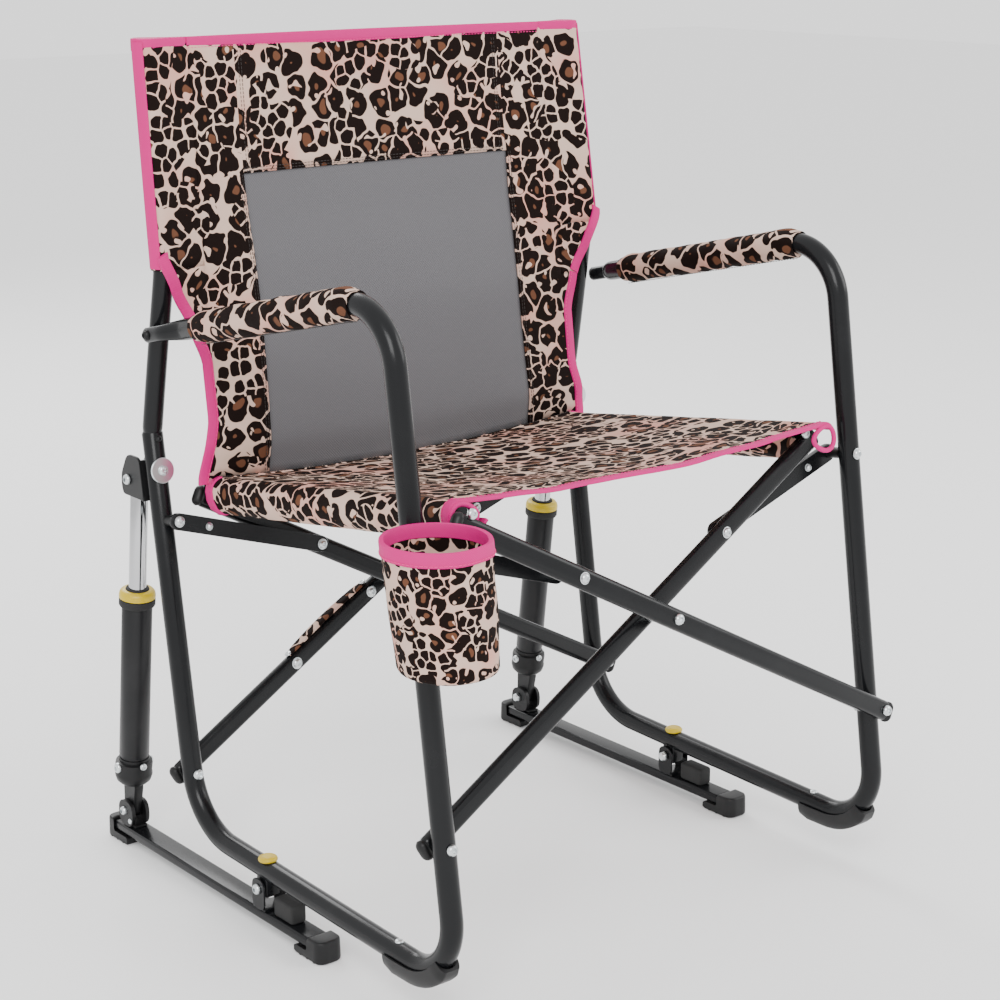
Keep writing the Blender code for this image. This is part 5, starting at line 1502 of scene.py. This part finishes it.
def sleeve_section(side, z):
    """Closed loop of the back sleeve round the upright at height z, seam to seam."""
    lean = upright_lean(z)
    wrap = UPRIGHT_R + 0.0020
    centre = side_point(side, upright_y(z), z, -lean)
    seam = back_point(side * SEAM_HALF, z)
    points = []
    count = 10
    front = centre + Vector((0.0, -wrap, 0.0))
    rear = centre + Vector((0.0, wrap, 0.0))
    for k in range(count):
        t = k / count
        point = seam.lerp(front, t)
        point.y += 0.0010 * math.sin(math.pi * t) + ripple(point.x, 1.0, z, 0.0010, 18.0) * t
        points.append(point)
    for k in range(13):
        angle = math.pi * (-0.5 + k / 12.0)
        points.append(centre + Vector((side * wrap * math.cos(angle), wrap * math.sin(angle),
                                       0.0)))
    for k in range(1, count):
        t = k / count
        target = seam + Vector((0.0, 0.0022, 0.0))
        point = rear.lerp(target, t)
        point.y -= 0.0040 * math.sin(math.pi * t)
        points.append(point)
    return points


def make_back_sleeve(name, side):
    body = "frame_" + name
    rows = 22
    rings, places = [], []
    for r in range(rows + 1):
        z = mix(SLEEVE_JOIN_Z, BACK_TOP_Z, r / rows)
        ring = sleeve_section(side, z)
        rings.append(ring)
        mark = side * SEAM_HALF
        marks = [mark]
        for first, second in zip(ring, ring[1:]):
            mark += side * (second - first).length
            marks.append(mark)
        marks.append(mark + side * 0.002)
        places.append([(m + PANEL_SHIFT[0], z + PANEL_SHIFT[1]) for m in marks])
    work = bmesh.new()
    add_rings(work, rings, closed_around=True, caps=False, places=places)
    lower_rings, lower_places = [], []
    for r in range(9):
        z = mix(SLEEVE_CUT_Z, SLEEVE_JOIN_Z, r / 8.0)
        edge = table(WAIST, z)
        xs = [mix(SEAM_HALF, edge, k / 6.0) for k in range(7)]
        ring = []
        for x in xs:
            point = back_point(side * SEAM_HALF, z)
            blend = smooth_step((z - SLEEVE_CUT_Z) / (SLEEVE_JOIN_Z - SLEEVE_CUT_Z))
            reach = (x - SEAM_HALF) / (HALF_TRACK - SEAM_HALF)
            pull = min(1.0, reach) * blend * SLEEVE_PULL
            ring.append(Vector((point.x + side * (x - SEAM_HALF), point.y - pull, z)))
        lower_rings.append(ring)
        lower_places.append([(side * x + PANEL_SHIFT[0], z + PANEL_SHIFT[1])
                             for x in xs + xs[-1:]])
    add_rings(work, lower_rings, closed_around=False, places=lower_places)
    sleeve = finish_piece("back_sleeve_cloth_" + name, work, "print", body, smooth=60.0)
    thicken(sleeve)
    make_sleeve_edges(name, side, body)


def make_sleeve_edges(name, side, body):
    """Piping down the outer edge, tape round the top, tape along the cut below the armrest."""
    work = bmesh.new()
    rings = []
    for k in range(31):
        z = mix(SLEEVE_FULL_Z - 0.008, BACK_TOP_Z - 0.002, k / 30.0)
        centre = side_point(side, upright_y(z), z, -upright_lean(z))
        ring = []
        for radius, order in ((UPRIGHT_R + 0.0042, range(13)),
                              (UPRIGHT_R + 0.0014, range(12, -1, -1))):
            for m in order:
                angle = math.radians(-48.0 + 62.0 * m / 12.0)
                lip = 0.0 if m in (0, 12) else 0.0004
                ring.append(centre + Vector((side * (radius + lip) * math.cos(angle),
                                             (radius + lip) * math.sin(angle), 0.0)))
        rings.append(ring)
    add_rings(work, rings)
    finish_piece("back_edge_binding_" + name, work, "pink", body, smooth=50.0)
    work = bmesh.new()
    top = sleeve_section(side, BACK_TOP_Z)
    count = len(top)
    normals = []
    for k in range(count):
        along = top[(k + 1) % count] - top[k - 1]
        normals.append(Vector((along.y, -along.x, 0.0)) * (1.0 if side > 0 else -1.0))
    tape(work, top, [-UP] * count, normals, 0.0115, CLOTH + 0.0022, closed=True)
    cap_ring = [p + UP * 0.0006 for p in top]
    verts = [work.verts.new(p) for p in cap_ring]
    work.faces.new(verts)
    finish_piece("back_top_binding_" + name, work, "pink", body, smooth=50.0)
    points, inwards, normals = [], [], []
    for k in range(13):
        z = mix(SLEEVE_CUT_Z, SLEEVE_FULL_Z + 0.004, k / 12.0)
        edge = table(WAIST, z)
        blend = smooth_step((z - SLEEVE_CUT_Z) / (SLEEVE_JOIN_Z - SLEEVE_CUT_Z))
        reach = min(1.0, (edge - SEAM_HALF) / (HALF_TRACK - SEAM_HALF))
        base = back_point(side * SEAM_HALF, z)
        points.append(Vector((base.x + side * (edge - SEAM_HALF),
                              base.y - reach * blend * SLEEVE_PULL - 0.0006, z)))
        inwards.append(Vector((-side, 0.0, 0.55)))
        normals.append(Vector((0.0, -1.0, 0.0)))
    tape_piece("back_cut_binding_" + name, points, inwards, normals, 0.0110, CLOTH + 0.0024, body)


def make_back_bindings():
    xs = [mix(-SEAM_HALF - 0.0006, SEAM_HALF + 0.0006, k / 40.0) for k in range(41)]
    points = [back_point(x, BACK_TOP_Z) for x in xs]
    forward = Vector((0.0, -1.0, 0.0))
    squash_back(tape_piece("back_top_binding_middle", points, [-UP] * 41, [forward] * 41, 0.0115,
                           CLOTH + 0.0022))
    row = [p - UP * 0.0098 + forward * 0.0019 for p in points]
    squash_back(stitch_piece("back_top_stitches", [(row, [forward] * 41)]))
    for name, side in SIDES:
        points, inwards = [], []
        for k in range(27):
            z = mix(WAIST_LOW_Z - 0.004, SLEEVE_CUT_Z, k / 26.0)
            points.append(back_point(side * table(WAIST, z), z))
            slope = table(WAIST, z + 0.004) - table(WAIST, z - 0.004)
            inwards.append(Vector((-side * 0.008, 0.0, slope)))
        normals = [forward] * 27
        squash_back(tape_piece("back_waist_binding_" + name, points, inwards, normals, 0.0105,
                               CLOTH + 0.0024))
        row = [p + i.normalized() * 0.0088 + forward * 0.0020 for p, i in zip(points, inwards)]
        squash_back(stitch_piece("back_waist_stitches_" + name, [(row, normals)]))


# ---- armrest covers ------------------------------------------------------------------------
ARM_COVER_Y = (0.0700, 0.3450)


def make_armrest_cover(name, side):
    path = bend_points(frame_corners(side), math.radians(4.0))
    upper = [p for p in path if p.z > 0.5]
    upper.reverse()
    dense = []
    for first, second in zip(upper, upper[1:]):
        steps = max(1, int((second - first).length / 0.004))
        for k in range(steps):
            dense.append(first.lerp(second, k / steps))
    low_y, high_y = (ORIGIN.y + y for y in ARM_COVER_Y)
    points = [p for p in dense if low_y <= p.y <= high_y and p.z > ORIGIN.z + 0.55]
    points.sort(key=lambda p: p.y)
    frames = path_frames(points)
    sides = 36
    rings = []
    total = len(points)
    for index, point in enumerate(points):
        _, across, top = frames[index]
        end = min(index, total - 1 - index)
        puff = smooth_step(end / 4.0)
        ring = []
        for k in range(sides):
            angle = 2.0 * math.pi * k / sides
            direction = across * math.cos(angle) + top * math.sin(angle)
            below = max(0.0, -direction.z) ** 3
            radius = mix(0.0128, 0.0152, puff) + 0.0012 * below
            radius += ripple(direction.x * 0.02 + index * 0.006, direction.z * 0.02, side,
                             0.0016, 42.0) * puff
            seam = max(0.0, -direction.z) ** 60
            ring.append(point + direction * (radius + 0.0016 * seam))
        rings.append(ring)
    inner_start = [points[0] + (p - points[0]).normalized() * (TUBE_R + 0.0004) for p in rings[0]]
    inner_end = [points[-1] + (p - points[-1]).normalized() * (TUBE_R + 0.0004)
                 for p in rings[-1]]
    work = bmesh.new()
    add_rings(work, [inner_start] + rings + [inner_end], caps=False)
    body = "frame_" + name
    cover = finish_piece("armrest_cover_" + name, work, "print", body,
                         ["armrest_sleeve_" + name], smooth=60.0)
    rows = []
    for lift in (-0.0022, 0.0022):
        line = []
        for index, point in enumerate(points[1:-1]):
            down = -UP + frames[index + 1][0] * UP.dot(frames[index + 1][0])
            line.append(point + down.normalized() * 0.0170 + ACROSS * lift)
        rows.append((line, [-UP] * len(line)))
    stitch_piece("armrest_stitches_" + name, rows, "dark_thread", body)


# ---- cup holder ----------------------------------------------------------------------------
CUP_RIM_R = 0.0500
CUP_FOOT_R = 0.0455
CUP_RIM_Z = 0.4850
CUP_DEPTH = 0.1150


def cup_centre():
    reach = CUP_RIM_R + TUBE_R + 0.0012
    rim_y = leg_y(FRONT_PLANE_S, CUP_RIM_Z)
    turn = math.radians(17.0)
    return side_point(-1.0, rim_y - reach * math.cos(turn), CUP_RIM_Z, reach * math.sin(turn))


def cup_ring(depth, radius, sides=56):
    """One ring of the cup: round, flattened a little against the leg, softly rippled."""
    centre = cup_centre() - LEG_UP * depth
    to_leg = side_point(-1.0, leg_y(FRONT_PLANE_S, centre.z), centre.z) - centre
    to_leg.z = 0.0
    gap = to_leg.length - TUBE_R - 0.0010
    to_leg.normalize()
    ring = []
    for k in range(sides):
        angle = 2.0 * math.pi * k / sides
        direction = Vector((math.cos(angle), math.sin(angle), 0.0))
        size = radius + ripple(direction.x, direction.y, depth * 14.0, 0.0016, 1.7)
        facing = max(0.0, direction.dot(to_leg))
        size = min(size, gap / max(facing, 0.2)) if facing > 0.2 else size
        ring.append(centre + direction * size)
    return ring


def cup_radius(depth):
    share = depth / CUP_DEPTH
    return mix(CUP_RIM_R - 0.0012, CUP_FOOT_R - 0.0010, share) + 0.0012 * math.sin(math.pi * share)


def make_cup_holder():
    depths = [CUP_DEPTH * k / 22.0 for k in range(22)]
    outer = [cup_ring(d, cup_radius(d)) for d in depths]
    outer.append(cup_ring(CUP_DEPTH - 0.0020, CUP_FOOT_R - 0.0022))
    outer.append(cup_ring(CUP_DEPTH - 0.0002, CUP_FOOT_R - 0.0055))
    outer.append(cup_ring(CUP_DEPTH, 0.012))
    inner = [cup_ring(CUP_DEPTH - 0.0022, 0.012),
             cup_ring(CUP_DEPTH - 0.0030, CUP_FOOT_R - 0.0060)]
    inner += [cup_ring(d, cup_radius(d) - 0.0024) for d in depths[::-1][1:]]
    work = bmesh.new()
    grid = add_rings(work, outer, caps=False)
    work.faces.new(grid[-1])
    second = add_rings(work, inner, caps=False)
    work.faces.new(second[0])
    for k in range(len(grid[0])):
        n = (k + 1) % len(grid[0])
        work.faces.new((second[-1][k], second[-1][n], grid[0][n], grid[0][k]))
    layer = work.loops.layers.uv["cloth"]
    for face in work.faces:
        for loop in face.loops:
            loop[layer].uv = loop[layer].uv * 1.6
    holder = finish_piece("cup_bag", work, "print", "frame_right", ["cup_holder"], smooth=60.0)
    rim = cup_ring(-0.0008, CUP_RIM_R - 0.0022)
    centre = cup_centre()
    normals = [(p - centre) - LEG_UP * (p - centre).dot(LEG_UP) for p in rim]
    tape_piece("cup_rim_binding", rim, [-LEG_UP] * len(rim), normals, 0.0120, 0.0050,
               "frame_right", edge=0.0016, closed=True)
    row = [p - LEG_UP * 0.0098 + n.normalized() * 0.0027 for p, n in zip(rim, normals)]
    stitch_piece("cup_rim_stitches", [(row + [row[0]], normals + [normals[0]])],
                 body="frame_right")
    make_cup_straps()


def make_cup_straps():
    """Two webbing loops that hold the cup against the leg."""
    work = bmesh.new()
    for height in (CUP_RIM_Z - 0.014, CUP_RIM_Z - 0.088):
        leg = side_point(-1.0, leg_y(FRONT_PLANE_S, height), height)
        rings = []
        sides = 28
        for lift, size in ((-0.0090, 0.0), (-0.0084, 0.0009), (0.0084, 0.0009), (0.0090, 0.0)):
            rings.append([leg + LEG_UP * lift
                          + ACROSS * ((TUBE_R + 0.0004 + size) * math.cos(2 * math.pi * k / sides))
                          + LEG_NORMAL * ((TUBE_R + 0.0004 + size)
                                          * math.sin(2 * math.pi * k / sides))
                          for k in range(sides)])
        add_rings(work, rings, caps=False)
    finish_piece("cup_straps", work, "webbing", "frame_right")


# ---- carry handle --------------------------------------------------------------------------
STRAP_ENDS = (-0.1500, -0.0260)      # along the bar, from the crossing


def make_carry_handle():
    direction = bar_direction(1.0)
    upward = LEG_NORMAL.cross(direction)
    upward = upward if upward.z > 0 else -upward
    crossing = fold_point(0.0, REAR_PLANE_S + BAR_LAYER, crossing_v())
    work = bmesh.new()
    rings = []
    for k in range(25):
        t = k / 24.0
        along = mix(*STRAP_ENDS, t)
        rise = 0.5 * BAR_WIDTH + 0.0010 + 0.0030 * math.sin(math.pi * t) ** 0.7
        centre = crossing + direction * along + upward * rise
        half = 0.0068 * (0.75 + 0.25 * smooth_step(min(t, 1.0 - t) * 8.0))
        ring = []
        for m in range(16):
            angle = 2.0 * math.pi * m / 16.0
            thick = 0.0016 + 0.0008 * math.sin(math.pi * t)
            ring.append(centre + LEG_NORMAL * (half * math.copysign(abs(math.cos(angle)) ** 0.6,
                                                                    math.cos(angle)))
                        + upward * (thick * math.sin(angle)))
        rings.append(ring)
    add_rings(work, rings)
    handle = finish_piece("carry_strap", work, "print", "x_frame_b", ["carry_handle"], smooth=60.0)
    work = bmesh.new()
    for along in STRAP_ENDS:
        centre = crossing + direction * along - LEG_NORMAL * (0.5 * BAR_THICK)
        add_rivet(work, centre, -LEG_NORMAL, 0.0055)
        tab = crossing + direction * along + upward * (0.5 * BAR_WIDTH + 0.0010)
        lathe(work, screw_profile(0.0040, 0.0020), tab + upward * 0.0012, upward, 20)
    finish_piece("carry_strap_bolts", work, "zinc", "x_frame_b")


# ---- assembly ------------------------------------------------------------------------------
def main():
    make_camera()
    make_materials()
    make_studio()
    for name, side in SIDES:
        make_side_frame(name, side)
        make_back_upright(name, side)
        make_foot(name, side)
        make_rail_cap(name, side)
        make_base(name, side)
        make_strut(name, side)
        make_strut_head(name, side)
        make_frame_screws(name, side)
        make_armrest_cover(name, side)
        make_back_sleeve(name, side)
    make_scissor_bolts()
    make_cross_bars()
    make_stay_links()
    make_seat_rails()
    make_seat()
    make_back_middle()
    make_back_bindings()
    make_cup_holder()
    make_carry_handle()


main()
bpy.context.view_layer.update()
